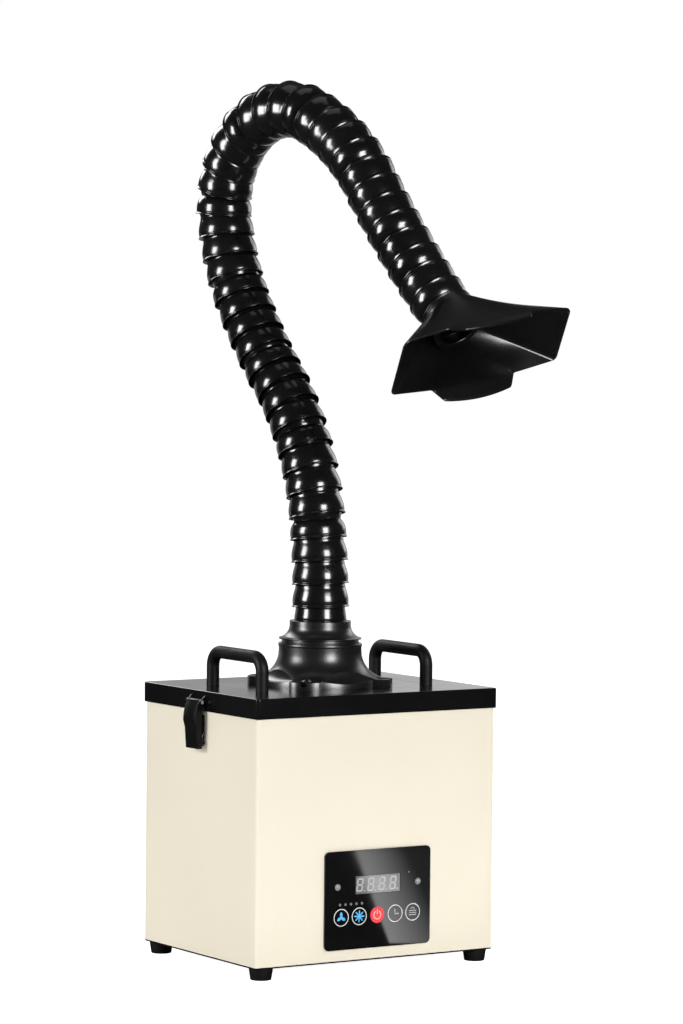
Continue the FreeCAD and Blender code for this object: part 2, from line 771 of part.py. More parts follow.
def exhaust():
    """The slotted exhaust grille on the back wall and its screws."""
    body = new_body("grille")
    pad(body, draw(new_sketch(body, "XZ_Plane", -half_depth - s.grille_thickness),
                   rectangle(grille_width, s.grille_height, grille_x, grille_level)), s.grille_thickness)
    round_edges(body, s.grille_corner, runs_along(Y_AXIS))
    slots = new_sketch(body, "XZ_Plane", -half_depth - s.grille_thickness)
    for index in range(SLOT_COUNT):
        x = grille_x + slot_pitch * (index - (SLOT_COUNT - 1) / 2)
        draw(slots, slot_outline(x))
    pocket(body, slots, s.grille_thickness, True)
    holes = new_sketch(body, "XZ_Plane", -half_depth - s.grille_thickness)
    for x, z in grille_screw_places:
        draw_circle(holes, x, z, s.inlet_screw_radius + s.screw_hole_gap)
    pocket(body, holes, s.grille_thickness, True)
    keep("exhaust_grille", body)
    screw = pan_screw("grille_screw", s.inlet_screw_radius, s.inlet_screw_head_radius,
                      s.inlet_screw_head_height, s.grille_thickness + s.inlet_screw_tail)
    keep_copies("grille_screws", screw, [moved(x, half_depth + s.grille_thickness, z, OUT_OF_BACK)
                                         for x, z in grille_screw_places])


def slot_outline(x):
    """An upright slot with half-round ends."""
    half = s.slot_width / 2
    low = grille_level - s.slot_length / 2 + half
    high = grille_level + s.slot_length / 2 - half
    return [(x + half, low), (x + half, high), (x - half, high), (x - half, low)]


def inner_fittings():
    """The power supply on the base, and the shelf that carries the filters, on its two brackets."""
    low = (-inner_width / 2 + s.supply_wall_gap, wall_inside - s.supply_back_gap - s.supply_depth,
           wall_bottom)
    cage = box("supply_cage", low, (s.supply_width, s.supply_depth, s.supply_height))
    notch = box("supply_notch", (low[0] - s.overrun, low[1] - s.overrun,
                                 wall_bottom + s.supply_height - s.supply_notch_height),
                (s.supply_width + s.overrun * 2, s.supply_notch_depth + s.overrun,
                 s.supply_notch_height + s.overrun))
    keep("power_supply", cut("supply", cage, notch))

    shelf = box("shelf",
                (-inner_width / 2 + s.shelf_side_gap, -inner_depth / 2 + s.shelf_side_gap, shelf_under),
                (inner_width - s.shelf_side_gap * 2, inner_depth - s.shelf_side_gap * 2, s.shelf_sheet))
    throat = rod("shelf_throat", s.nozzle_radius + s.nozzle_wall, s.shelf_sheet + s.overrun * 2,
                 (fan_x, fan_y, shelf_under - s.overrun))
    keep("filter_shelf", cut("shelf_sheet_cut", shelf, throat))

    angle = new_body("shelf_angle")
    corner = -inner_width / 2
    pad(angle, draw(new_sketch(angle, "XZ_Plane"), [
        (corner, shelf_under - s.bracket_leg), (corner + s.bracket_sheet, shelf_under - s.bracket_leg),
        (corner + s.bracket_sheet, shelf_under - s.bracket_sheet),
        (corner + s.bracket_leg, shelf_under - s.bracket_sheet),
        (corner + s.bracket_leg, shelf_under), (corner, shelf_under)]), s.bracket_length, True)
    keep_copies("shelf_brackets", angle, [moved(), moved(turn=Rotation(Z_AXIS, 180))])


shelf_under = wall_bottom + s.shelf_rise
shelf_top = shelf_under + s.shelf_sheet


def filters():
    """The stacked filters on their foam seal: pleated particle filter, carbon filter and prefilter pad."""
    width = inner_width - s.filter_side_gap * 2
    depth = inner_depth - s.filter_side_gap * 2
    level = shelf_top
    outer = box("seal_outer", (-width / 2, -depth / 2, level), (width, depth, s.filter_seal_height))
    inner = box("seal_inner", (-width / 2 + s.filter_seal_width, -depth / 2 + s.filter_seal_width,
                               level - s.overrun),
                (width - s.filter_seal_width * 2, depth - s.filter_seal_width * 2,
                 s.filter_seal_height + s.overrun * 2))
    keep("filter_gasket", cut("seal", outer, inner))
    level = level + s.filter_seal_height

    body = new_body("particle_body")
    pad(body, draw(new_sketch(body, "XY_Plane"), rectangle(width, depth)), s.particle_filter_height)
    mouth = new_sketch(body, "XY_Plane", s.particle_filter_height)
    draw(mouth, rectangle(width - s.filter_frame * 2, depth - s.filter_frame * 2))
    pocket(body, mouth, s.pleat_depth)
    keep("particle_filter", place(body, z=level))
    level = level + s.particle_filter_height

    keep("carbon_filter", box("carbon", (-width / 2, -depth / 2, level),
                              (width, depth, s.carbon_filter_height)))
    level = level + s.carbon_filter_height
    keep("prefilter_pad", plate("prefilter", width, depth, s.prefilter_height, (ZERO, ZERO, level),
                                s.cabinet_corner))


post_top = s.motor_flange_height + s.post_height
cup_under = post_top + s.running_gap * 4
cup_over = cup_under + s.cup_top


def fan():
    """The plug fan: motor post and stator, bearings, rotor cup on its shaft, impeller, inlet ring."""
    base = (fan_x, fan_y, wall_bottom)
    seat = s.bearing_radius + s.shaft_gap
    post = turned("motor_post", [(seat, ZERO), (s.motor_flange_radius, ZERO),
                                 (s.motor_flange_radius, s.motor_flange_height),
                                 (s.post_radius, s.motor_flange_height), (s.post_radius, post_top),
                                 (seat, post_top)])
    keep("motor_base", place(post, *base))
    stator_low = s.motor_flange_height + s.stator_rise
    stator_high = stator_low + s.stator_height
    stator = turned("stator", [(s.post_radius, stator_low), (s.stator_radius, stator_low + s.stator_rise),
                               (s.stator_radius, stator_high - s.stator_rise), (s.post_radius, stator_high)])
    keep("motor_stator", place(stator, *base))
    bearing = drum("bearing", s.shaft_radius + s.shaft_gap, s.bearing_radius, s.bearing_height,
                   (ZERO, ZERO, ZERO))
    keep_copies("motor_bearings", bearing, [moved(*base[:2], wall_bottom + s.motor_flange_height),
                                            moved(*base[:2], wall_bottom + post_top - s.bearing_height)])
    cup_inner = s.stator_radius + s.cup_gap
    cup = turned("rotor", [(ZERO, s.motor_flange_height), (s.shaft_radius, s.motor_flange_height),
                           (s.shaft_radius, post_top + s.running_gap),
                           (s.shoulder_radius, post_top + s.running_gap),
                           (s.shoulder_radius, cup_under), (cup_inner, cup_under),
                           (cup_inner, stator_low), (cup_inner + s.cup_wall, stator_low),
                           (cup_inner + s.cup_wall, cup_over), (ZERO, cup_over)])
    keep("rotor_cup", place(cup, *base))

    wheel = new_body("wheel")
    pad(wheel, draw_circle(new_sketch(wheel, "XY_Plane"), ZERO, ZERO, s.impeller_radius), s.impeller_disc)
    blade = new_sketch(wheel, "XY_Plane")
    root, tip_x, tip_y = s.blade_inner_radius, s.blade_tip_along, s.blade_tip_across
    thick = s.blade_thickness
    draw(blade, [(root, ZERO), (tip_x, tip_y, -s.blade_curve), (tip_x - thick, tip_y),
                 (root - thick, ZERO, s.blade_curve)])
    first = pad(wheel, blade, s.impeller_disc + s.blade_height)
    doc.recompute()
    ring = wheel.newObject("PartDesign::PolarPattern", "blades")
    ring.Originals = [first]
    ring.Axis = (next(f for f in wheel.Origin.OriginFeatures if f.Role == "Z_Axis"), [""])
    ring.Angle = 360
    ring.Occurrences = BLADE_COUNT
    wheel.Tip = ring
    doc.recompute()
    shroud = new_sketch(wheel, "XY_Plane", s.impeller_disc + s.blade_height)
    draw_circle(draw_circle(shroud, ZERO, ZERO, s.impeller_radius), ZERO, ZERO, s.shroud_inner_radius)
    pad(wheel, shroud, s.impeller_disc)
    keep("fan_impeller", place(wheel, base[0], base[1], wall_bottom + cup_over))

    reach = s.shelf_rise - cup_over - s.impeller_disc - s.blade_height - s.nozzle_clear
    nozzle = s.nozzle_radius
    lip = nozzle + s.nozzle_wall
    ring_body = turned("nozzle", [(nozzle, -reach), (lip, -reach), (lip, -s.nozzle_flange),
                                  (s.nozzle_flange_radius, -s.nozzle_flange), (s.nozzle_flange_radius, ZERO),
                                  (nozzle, ZERO)])
    keep("fan_inlet_ring", place(ring_body, base[0], base[1], shelf_under))


lug_diagonal = Rotation(Z_AXIS, 45)


def lid():
    """The lid pan with its duct and screw holes, the gasket under it, and the rod handles."""
    grow = (s.lid_gap + s.lid_sheet) * 2
    body = new_body("pan")
    pad(body, draw(new_sketch(body, "XY_Plane"), rectangle(s.cabinet_width + grow, s.cabinet_depth + grow)),
        s.lid_skirt)
    round_edges(body, s.lid_corner, runs_along(Z_AXIS))
    top_level = float(s.lid_skirt)
    round_edges(body, s.lid_edge, lambda edge: edge.BoundBox.ZMin > top_level * TOP_SHARE)
    pocket(body, draw(new_sketch(body, "XY_Plane"),
                      rectangle(s.cabinet_width + s.lid_gap * 2, s.cabinet_depth + s.lid_gap * 2)),
           s.lid_skirt - s.lid_sheet, True)
    holes = new_sketch(body, "XY_Plane", s.lid_skirt - s.lid_sheet)
    hole_radius = s.screw_radius + s.screw_hole_gap
    draw_circle(holes, ZERO, ZERO, s.duct_radius)
    for i, j in CORNERS:
        draw_circle(holes, handle_x * i, s.handle_spacing / 2 * j, hole_radius)
        draw_circle(holes, s.lug_screw_radius * math.sqrt(0.5) * i, s.lug_screw_radius * math.sqrt(0.5) * j,
                    hole_radius)
    pocket(body, holes, s.lid_sheet, True)
    keep("lid_pan", place(body, z=lid_top - s.lid_skirt))

    outer = box("gasket_outer", (-half_width, -half_depth, wall_top),
                (s.cabinet_width, s.cabinet_depth, s.lid_gasket_height))
    inner = box("gasket_inner", (-half_width + s.lid_gasket_width, -half_depth + s.lid_gasket_width,
                                 wall_top - s.overrun),
                (s.cabinet_width - s.lid_gasket_width * 2, s.cabinet_depth - s.lid_gasket_width * 2,
                 s.lid_gasket_height + s.overrun * 2))
    keep("lid_gasket", cut("gasket", outer, inner))

    for side, name in ((-1, "handle_left"), (1, "handle_right")):
        keep(name, handle(name + "_rod", handle_x * side))
    screw = pan_screw("handle_screw", s.screw_radius, s.screw_head_radius, s.screw_head_height,
                      s.lid_sheet + s.handle_hole_depth - s.overrun)
    keep_copies("handle_screws", screw, [moved(handle_x * i, s.handle_spacing / 2 * j, lid_under, SEAT_DOWN)
                                         for i, j in CORNERS])


def handle(name, x):
    """A round bar bent to a low arch, with a blind screw hole up each leg."""
    body = new_body(name)
    half = s.handle_spacing / 2
    crest = s.handle_height - s.handle_radius
    run = half - s.handle_bend
    path = new_sketch(body, "YZ_Plane")
    draw(path, [(-half, ZERO), (-half, crest - s.handle_bend), (-run, crest, -s.handle_bend), (run, crest),
                (half, crest - s.handle_bend, -s.handle_bend), (half, ZERO)], closed=False)
    section = draw_circle(new_sketch(body, "XY_Plane"), ZERO, -half, s.handle_radius)
    doc.recompute()
    bar = body.newObject("PartDesign::AdditivePipe", name + "_pipe")
    bar.Profile = section
    bar.Spine = (path, ["Edge%d" % index for index in range(1, len(path.Shape.Edges) + 1)])
    holes = new_sketch(body, "XY_Plane")
    for side in (-1, 1):
        draw_circle(holes, ZERO, half * side, s.screw_radius + s.screw_hole_gap)
    pocket(body, holes, s.handle_hole_depth, True)
    return place(body, x, ZERO, lid_top)


latch_level = lid_top - s.latch_pin_drop
skirt_face = half_width + s.lid_gap + s.lid_sheet


def latches():
    """Each side's latch: lever, hinge bracket on the lid's skirt, pin, and the strike on the cabinet wall."""
    half = s.latch_width / 2
    pin_x, barrel = s.latch_pin_out, s.latch_barrel
    lever = new_body("lever")
    hook_top = -s.latch_hook_drop - s.latch_hook_play
    hook_low = hook_top - s.latch_hook_height
    tip_low = -s.latch_tip_drop
    inner = s.latch_inner_out
    nib = inner - s.latch_hook * 2
    pad(lever, draw(new_sketch(lever, "XZ_Plane"), [
        (pin_x, barrel, -barrel), (pin_x + barrel, ZERO, -barrel),
        (s.latch_belly_out, -s.latch_belly_drop, -s.latch_bow),
        (s.latch_kink_out, -s.latch_kink_drop), (s.latch_tip_out, tip_low), (inner, tip_low),
        (inner, hook_low), (nib, hook_low), (nib, hook_top), (inner, hook_top), (inner, -barrel),
        (pin_x - barrel, ZERO)]), s.latch_width, True)
    bore = draw_circle(new_sketch(lever, "XZ_Plane", -half - s.overrun), pin_x, ZERO,
                       s.latch_pin_radius + s.running_gap)
    pocket(lever, bore, s.latch_width + s.overrun * 2, True)

    ear_gap = half + s.fit_gap
    bracket = new_body("hinge_bracket")
    pad(bracket, draw(new_sketch(bracket, "YZ_Plane"),
                      rectangle((ear_gap + s.ear_thickness) * 2, s.bracket_plate_height)), s.bracket_plate)
    for low in (-ear_gap - s.ear_thickness, ear_gap):
        ear = new_sketch(bracket, "XZ_Plane", -low - s.ear_thickness)
        draw(ear, [(ZERO, -s.bracket_plate_height / 2), (s.bracket_plate, -s.bracket_plate_height / 2),
                   (pin_x + barrel, ZERO), (pin_x, barrel, barrel), (ZERO, s.bracket_plate_height / 2)])
        pad(bracket, ear, s.ear_thickness)
    bore = draw_circle(new_sketch(bracket, "XZ_Plane", -ear_gap - s.ear_thickness - s.overrun), pin_x, ZERO,
                       s.latch_pin_radius + s.latch_pin_gap)
    pocket(bracket, bore, (ear_gap + s.ear_thickness + s.overrun) * 2, True)

    pin_span = (ear_gap + s.ear_thickness) * 2
    pin = rod("latch_pin", s.latch_pin_radius, pin_span, (pin_x, pin_span / 2, ZERO), OUT_OF_FRONT)

    ledge_low = -s.latch_hook_drop
    wall_face = -s.lid_gap - s.lid_sheet
    plate_face = wall_face + s.strike_plate
    strike = new_body("strike")
    pad(strike, draw(new_sketch(strike, "XZ_Plane"), [
        (wall_face, ledge_low - s.latch_hook_height), (plate_face, ledge_low - s.latch_hook_height),
        (plate_face, ledge_low), (inner - s.latch_hook, ledge_low),
        (inner - s.latch_hook, ledge_low + s.strike_ledge_height / 2),
        (plate_face, ledge_low + s.strike_ledge_height), (plate_face, -s.strike_top_drop),
        (wall_face, -s.strike_top_drop)]), s.strike_width, True)

    right = moved(skirt_face, ZERO, latch_level)
    left = moved(-skirt_face, ZERO, latch_level, Rotation(Z_AXIS, 180))
    keep_copies("latch_lever_left", lever, [left])
    keep_copies("latch_lever_right", lever, [right])
    keep_copies("latch_brackets", bracket, [left, right])
    keep_copies("latch_pins", pin, [left, right])
    keep_copies("latch_strikes", strike, [left, right])


def flange():
    """The finished flange: bell, lugs with open screw wells, and the scooped hollows between them."""
    ledge_low = s.flange_height - s.flange_ledge
    neck_low = s.flange_height - s.flange_neck_height
    bell = turned("bell", [(s.flange_bore, ZERO), (s.flange_base_radius, ZERO),
                           (s.flange_base_radius, s.flange_rim),
                           (s.flange_neck_radius, neck_low, -s.flange_curve),
                           (s.flange_neck_radius, s.flange_height),
                           (s.spigot_radius + s.running_gap, s.flange_height),
                           (s.spigot_radius + s.running_gap, ledge_low), (s.flange_bore, ledge_low)])
    half = s.lug_width / 2
    shoulder = s.lug_tip_radius - half / 2
    lug = new_sketch(bell, "XY_Plane")
    draw(lug, [(s.lug_inner_radius, -half), (shoulder, -half), (shoulder, half, s.lug_width * LUG_NOSE_SHARE),
               (s.lug_inner_radius, half)])
    block = pad(bell, lug, s.lug_height)
    well = new_sketch(bell, "XY_Plane", s.lug_height)
    mouth = s.lug_tip_radius + s.overrun
    draw(well, [(s.lug_screw_radius - s.lug_pocket_radius, -s.lug_pocket_radius),
                (mouth, -s.lug_pocket_radius), (mouth, s.lug_pocket_radius),
                (s.lug_screw_radius - s.lug_pocket_radius, s.lug_pocket_radius)])
    well_cut = pocket(bell, well, s.lug_height - s.lug_floor)
    hole = draw_circle(new_sketch(bell, "XY_Plane"), s.lug_screw_radius, ZERO,
                       s.screw_radius + s.screw_hole_gap)
    hole_cut = pocket(bell, hole, s.lug_floor, True)
    ring = bell.newObject("PartDesign::PolarPattern", "lugs")
    ring.Originals = [block, well_cut, hole_cut]
    ring.Axis = (next(f for f in bell.Origin.OriginFeatures if f.Role == "Z_Axis"), [""])
    ring.Angle = 360
    ring.Occurrences = LUG_COUNT
    bell.Tip = ring
    place(bell, ZERO, ZERO, lid_top, lug_diagonal)
    scoops = []
    for index in range(LUG_COUNT):
        turn = Rotation(Z_AXIS, 360 / LUG_COUNT * index)
        way = turn.multVec(X_AXIS)
        scoop = doc.addObject("Part::Ellipsoid", "scoop")
        bind(scoop, Radius1=s.scoop_radius, Radius2=s.scoop_radius, Radius3=s.scoop_length)
        place(scoop, s.scoop_reach * round(way.x), s.scoop_reach * round(way.y), lid_top + s.scoop_height, turn)
        scoops.append(scoop)
    keep("hose_flange", cut("flange_cut", bell, *scoops))

    screw = turned("cap_screw", [(ZERO, -s.lug_floor - s.lid_sheet - s.screw_tail),
                                 (s.screw_radius, -s.lug_floor - s.lid_sheet - s.screw_tail),
                                 (s.screw_radius, ZERO), (s.cap_screw_head_radius, ZERO),
                                 (s.cap_screw_head_radius, s.cap_screw_head_height),
                                 (ZERO, s.cap_screw_head_height)])
    spread = float(s.lug_screw_radius) * math.sqrt(0.5)
    keep_copies("flange_screws", screw,
                [moved(spread * i, spread * j, lid_top + s.lug_floor) for i, j in CORNERS])
    keep("swivel_washer", drum("washer", s.spigot_radius + s.running_gap, s.washer_radius, s.washer_height,
                               (ZERO, ZERO, lid_top + s.flange_height)))


def revolved(edges):
    """A solid turned about the Z axis from a closed run of edges in the XZ plane."""
    face = Part.Face(Part.Wire(edges))
    return face.revolve(Vector(), Z_AXIS, 360)


def line(start, end):
    """A straight edge between two (radius, height) points."""
    return Part.LineSegment(Vector(start[0], 0, start[1]), Vector(end[0], 0, end[1])).toShape()


def arc(start, middle, end):
    """An arc through three (radius, height) points."""
    points = [Vector(radius, 0, height) for radius, height in (start, middle, end)]
    return Part.Arc(*points).toShape()


def on_sphere(radius, height):
    """The point of a sphere's outline at a height above its centre."""
    return (math.sqrt(radius * radius - height * height), height)


def raised(point, height):
    """A (radius, height) point moved up."""
    return (point[0], point[1] + height)


def ball_outline(centre):
    """The ball's outside from its neck to its top, about a centre height."""
    radius = float(s.ball_radius)
    low = raised(on_sphere(radius, -float(s.neck_drop)), centre)
    top = raised(on_sphere(radius, float(s.ball_top_rise)), centre)
    return low, raised((radius, 0), centre), top


def socket_outline():
    """The socket's inside from the bore to the lip: part of a sphere about height zero, then the flare."""
    radius = float(s.ball_radius) + float(s.socket_gap)
    bore = float(s.hose_bore)
    crown = (bore, math.sqrt(radius * radius - bore * bore))
    foot = on_sphere(radius, -float(s.socket_drop))
    return crown, (radius, 0.0), foot


def lip_points():
    """The corners of the sharp lip and the foot of the barrel above it."""
    low = -float(s.lip_drop)
    return [(float(s.lip_flare), low), (float(s.lip_radius), low),
            (float(s.lip_radius), low + float(s.lip_edge)),
            (float(s.barrel_foot_radius), -float(s.barrel_foot_drop))]


def segment():
    """One hose segment about its socket's centre: lip, barrel, waist, neck, ball, bore, socket."""
    pitch = float(s.segment_pitch)
    flare, lip, lip_top, foot = lip_points()
    crest = (float(s.barrel_radius), float(s.barrel_rise))
    shoulder = (float(s.barrel_top_radius), float(s.barrel_top_rise))
    waist = (float(s.waist_radius), pitch - float(s.waist_drop))
    neck, equator, ball_top = ball_outline(pitch)
    bore_top = (float(s.hose_bore), ball_top[1])
    crown, side, socket_foot = socket_outline()
    return revolved([line(flare, lip), line(lip, lip_top), line(lip_top, foot), arc(foot, crest, shoulder),
                     line(shoulder, waist), line(waist, neck), arc(neck, equator, ball_top),
                     line(ball_top, bore_top), line(bore_top, crown), arc(crown, side, socket_foot),
                     line(socket_foot, flare)])


def collar():
    """The swivel collar: spigot in the flange, flared skirt, neck and the arm's first ball."""
    skirt = float(s.flange_height + s.washer_height)
    ball_centre = float(s.first_lip_height + s.lip_drop)
    rim = float(s.flange_neck_radius)
    top = skirt + float(s.collar_top_height)
    step = skirt + float(s.collar_step)
    spigot = float(s.spigot_radius)
    ledge = float(s.flange_height - s.flange_ledge)
    groove_top = ledge - float(s.running_gap)
    groove_low = groove_top - float(s.retainer_height)
    spigot_low = groove_low - float(s.retainer_height)
    groove = spigot - float(s.retainer_groove)
    bore = float(s.collar_bore)
    neck, equator, ball_top = ball_outline(ball_centre)
    hose_bore = float(s.hose_bore)
    rim_top = (rim, skirt + float(s.collar_rim_height))
    shoulder = (float(s.collar_top_radius), step)
    bow = math.sqrt(0.5)
    reach = rim - shoulder[0]
    rise = step - rim_top[1]
    middle = (rim - reach * bow, step - rise * bow)
    inner_top = top - (bore - hose_bore)
    corners = [shoulder, (shoulder[0], top), (float(s.collar_neck_radius), top), neck]
    inside = [ball_top, (hose_bore, ball_top[1]), (hose_bore, top), (bore, inner_top), (bore, spigot_low),
              (spigot, spigot_low), (spigot, groove_low), (groove, groove_low), (groove, groove_top),
              (spigot, groove_top), (spigot, skirt), (rim, skirt), rim_top]
    edges = [arc(rim_top, middle, shoulder)]
    edges += [line(a, b) for a, b in zip(corners, corners[1:])]
    edges.append(arc(neck, equator, ball_top))
    edges += [line(a, b) for a, b in zip(inside, inside[1:])]
    keep_shape("swivel_collar", revolved(edges), moved(z=lid_top))
    ring_low = lid_top + s.flange_height - s.flange_ledge - s.running_gap - s.retainer_height
    keep("collar_retainer", drum("snap_ring", s.spigot_radius - s.retainer_groove + s.running_gap,
                                 s.retainer_radius, s.retainer_height - s.running_gap,
                                 (ZERO, ZERO, ring_low)))


def joint_frames():
    """The place of each segment's socket centre along the arm, and last the hood's."""
    sideways = Rotation(Z_AXIS, ARCH_ANGLE)
    axis = sideways.multVec(X_AXIS)
    point = Vector(0, 0, float(lid_top + s.first_lip_height + s.lip_drop))
    heading = 0.0
    frames = []
    for count, bend in zip(BEND_COUNTS, BEND_ANGLES):
        for _ in range(count):
            heading += bend
            turn = Rotation(axis, heading).multiply(sideways)
            frames.append(Placement(point, turn))
            point = point + turn.multVec(Z_AXIS) * float(s.segment_pitch)
    rolled = turn.multiply(Rotation(Z_AXIS, HOOD_ROLL_ANGLE))
    frames.append(Placement(point, rolled.multiply(Rotation(X_AXIS, HOOD_TILT_ANGLE))))
    return frames


def arm(frames):
    """The hose sections, each a run of separate ball-and-socket segments."""
    shape = segment()
    start = 0
    for number, count in enumerate(SECTION_COUNTS, start=1):
        solids = []
        for frame in frames[start:start + count]:
            solid = shape.copy()
            solid.Placement = frame
            solids.append(solid)
        keep_shape("hose_section_%02d" % number, Part.makeCompound(solids))
        start += count


def around(radius, angle, level):
    """The point of a circle at an angle and a height."""
    turn = math.radians(angle)
    return Vector(radius * math.cos(turn), radius * math.sin(turn), level)


def neck_wire(radius, level):
    """The hood's round start, in twelve arcs that answer the mouth's twelve edges."""
    middle, end, crease, quarter = HOOD_MIDDLE_ANGLE, HOOD_END_ANGLE, HOOD_CREASE_ANGLE, QUARTER_TURN_ANGLE
    half = [-quarter - middle, -quarter + middle, -end - crease, -end + crease, end - crease, end + crease]
    turns = half + [angle + 2 * quarter for angle in half] + [half[0] + 4 * quarter]
    arcs = [Part.Arc(around(radius, a, level), around(radius, (a + b) / 2, level), around(radius, b, level))
            for a, b in zip(turns, turns[1:])]
    return Part.Wire([item.toShape() for item in arcs])


def rounded_outline(corners, rounding):
    """A closed wire through corners in order, each with an arc of its own radius where that isn't zero."""
    spots = []
    for index, (corner, radius) in enumerate(zip(corners, rounding)):
        back = (corners[index - 1] - corner).normalize()
        ahead = (corners[(index + 1) % len(corners)] - corner).normalize()
        half = back.getAngle(ahead) / 2
        trim = radius / math.tan(half)
        crown = corner + (back + ahead).normalize() * (radius / math.sin(half) - radius)
        spots.append([corner + back * trim, crown, corner + ahead * trim] if radius else [corner])
    edges = []
    for index, spot in enumerate(spots):
        if len(spot) == 3:
            edges.append(Part.Arc(*spot).toShape())
        edges.append(Part.LineSegment(spot[-1], spots[(index + 1) % len(spots)][0]).toShape())
    return Part.Wire(edges)


def horn(inset_across, inset_along, beyond):
    """The hood's flare as a solid from its round neck to its eight-sided mouth, drawn in by the insets."""
    start, depth = float(s.hood_start), float(s.hood_depth)
    stretch = (depth + beyond - start) / (depth - start)
    radius = float(s.hood_start_width) / 2 - inset_along
    near_end = around(radius, HOOD_END_ANGLE, start)
    near_root = around(radius, QUARTER_TURN_ANGLE - HOOD_MIDDLE_ANGLE, start)
    end = Vector(float(s.hood_width) / 2 - inset_across, float(s.hood_end_height) / 2 - inset_along, depth)
    root = Vector(float(s.hood_middle_width) / 2, float(s.hood_middle_height) / 2 - inset_along, depth)
    end = near_end + (end - near_end) * stretch
    root = near_root + (root - near_root) * stretch
    quarter = [(root, -1, -1), (root, 1, -1), (end, 1, -1), (end, 1, 1), (root, 1, 1), (root, -1, 1),
               (end, -1, 1), (end, -1, -1)]
    corners = [Vector(point.x * i, point.y * j, point.z) for point, i, j in quarter]
    rounding = [float(s.hood_corner) if point is end else 0 for point, i, j in quarter]
    return Part.makeLoft([neck_wire(radius, start), rounded_outline(corners, rounding)], True, True)


def lobe(side):
    """A long panel's lobe: a plate leaning out past the mouth, with a bowed front edge and round corners."""
    wall, rise, reach = float(s.hood_wall), float(s.lobe_rise), float(s.lobe_reach)
    length = math.hypot(rise, reach)
    lean = Vector(0, side * rise / length, reach / length)
    middle = Vector(0, side * float(s.hood_middle_height) / 2, float(s.hood_depth))
    root, tip = X_AXIS * (float(s.hood_middle_width) / 2), X_AXIS * (float(s.lobe_tip_width) / 2)
    back = middle - lean * (wall * LOBE_TUCK_SHARE)
    front = middle + lean * length
    crown = front + lean * float(s.lobe_bow)
    edges = [Part.LineSegment(back - root, back + root), Part.LineSegment(back + root, front + tip),
             Part.Arc(front + tip, crown, front - tip), Part.LineSegment(front - tip, back - root)]
    inward = Vector(0, -side * reach / length, rise / length)
    slab = Part.Face(Part.Wire([edge.toShape() for edge in edges])).extrude(inward * wall)
    reaches_front = [edge for edge in slab.Edges if isinstance(edge.Curve, Part.Line)
                     and abs(edge.tangentAt(edge.FirstParameter).dot(inward)) > PARALLEL_SHARE
                     and edge.BoundBox.ZMin > middle.z]
    return slab.makeFillet(float(s.lobe_corner), reaches_front)


def hood(frame):
    """The hood: a socket cup for the last ball and a flat flared horn whose long panels have lobes."""
    run = float(s.hood_depth) - float(s.hood_start)
    radius = float(s.hood_start_width) / 2
    flare = (float(s.hood_width) / 2 - radius) / run
    slope = (float(s.hood_middle_height) / 2 - radius) / run
    wall = float(s.hood_wall)
    inside = horn(wall * math.hypot(1, flare), wall * math.hypot(1, slope), float(s.overrun))
    shell = horn(0, 0, 0).cut(inside)
    flare_point, lip, lip_top, foot = lip_points()
    crown, side, socket_foot = socket_outline()
    cup_top = crown[1] + wall
    barrel = float(s.barrel_foot_radius)
    cup = revolved([line(flare_point, lip), line(lip, lip_top), line(lip_top, foot),
                    line(foot, (barrel, cup_top)), line((barrel, cup_top), (crown[0], cup_top)),
                    line((crown[0], cup_top), crown),
                    arc(crown, side, socket_foot), line(socket_foot, flare_point)])
    way_in = revolved([line((0, -float(s.lip_drop)), flare_point), line(flare_point, socket_foot),
                       arc(socket_foot, side, crown), line(crown, (crown[0], cup_top)),
                       line((crown[0], cup_top), (0, cup_top)), line((0, cup_top), (0, -float(s.lip_drop)))])
    shape = shell.fuse([cup, lobe(1), lobe(-1)]).cut(way_in).removeSplitter()
    keep_shape("hood", shape, frame)


def write_pieces():
    """Checks every object and writes each node's solids to its own file."""
    doc.recompute()
    broken = [item.Name for item in doc.Objects if "Invalid" in item.State or "Error" in item.State]
    broken += [node for node, item in pieces.items() if item.Shape.isNull() or not item.Shape.isValid()]
    if broken:
        raise RuntimeError("not built: " + ", ".join(broken))
    os.makedirs("parts", exist_ok=True)
    for node, item in pieces.items():
        item.Shape.exportStep("parts/%s.step" % node)


cabinet()
feet()
front_panel()
power_entry()
exhaust()
inner_fittings()
filters()
fan()
lid()
latches()
flange()
collar()
arm_frames = joint_frames()
arm(arm_frames)
hood(arm_frames[-1])
write_pieces()
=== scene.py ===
import json
import math

import bmesh
import bpy
import numpy as np
from mathutils import Matrix, Vector


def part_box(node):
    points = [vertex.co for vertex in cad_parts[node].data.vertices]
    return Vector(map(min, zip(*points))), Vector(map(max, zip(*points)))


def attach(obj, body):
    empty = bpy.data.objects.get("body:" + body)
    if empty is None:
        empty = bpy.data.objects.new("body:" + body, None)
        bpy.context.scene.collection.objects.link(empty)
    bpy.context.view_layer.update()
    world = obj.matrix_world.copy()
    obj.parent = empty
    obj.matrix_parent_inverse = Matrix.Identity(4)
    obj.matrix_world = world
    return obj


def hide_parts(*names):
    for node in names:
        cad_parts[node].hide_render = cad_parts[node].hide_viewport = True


bl_info = {
    "name": "Fume Extractor Looks",
    "version": (1, 0, 0),
    "blender": (4, 5, 0),
    "location": "View3D > Sidebar > Extractor",
    "description": "Dresses the packed fume extractor with moulded surfaces, finishes and a studio",
    "category": "Object",
}

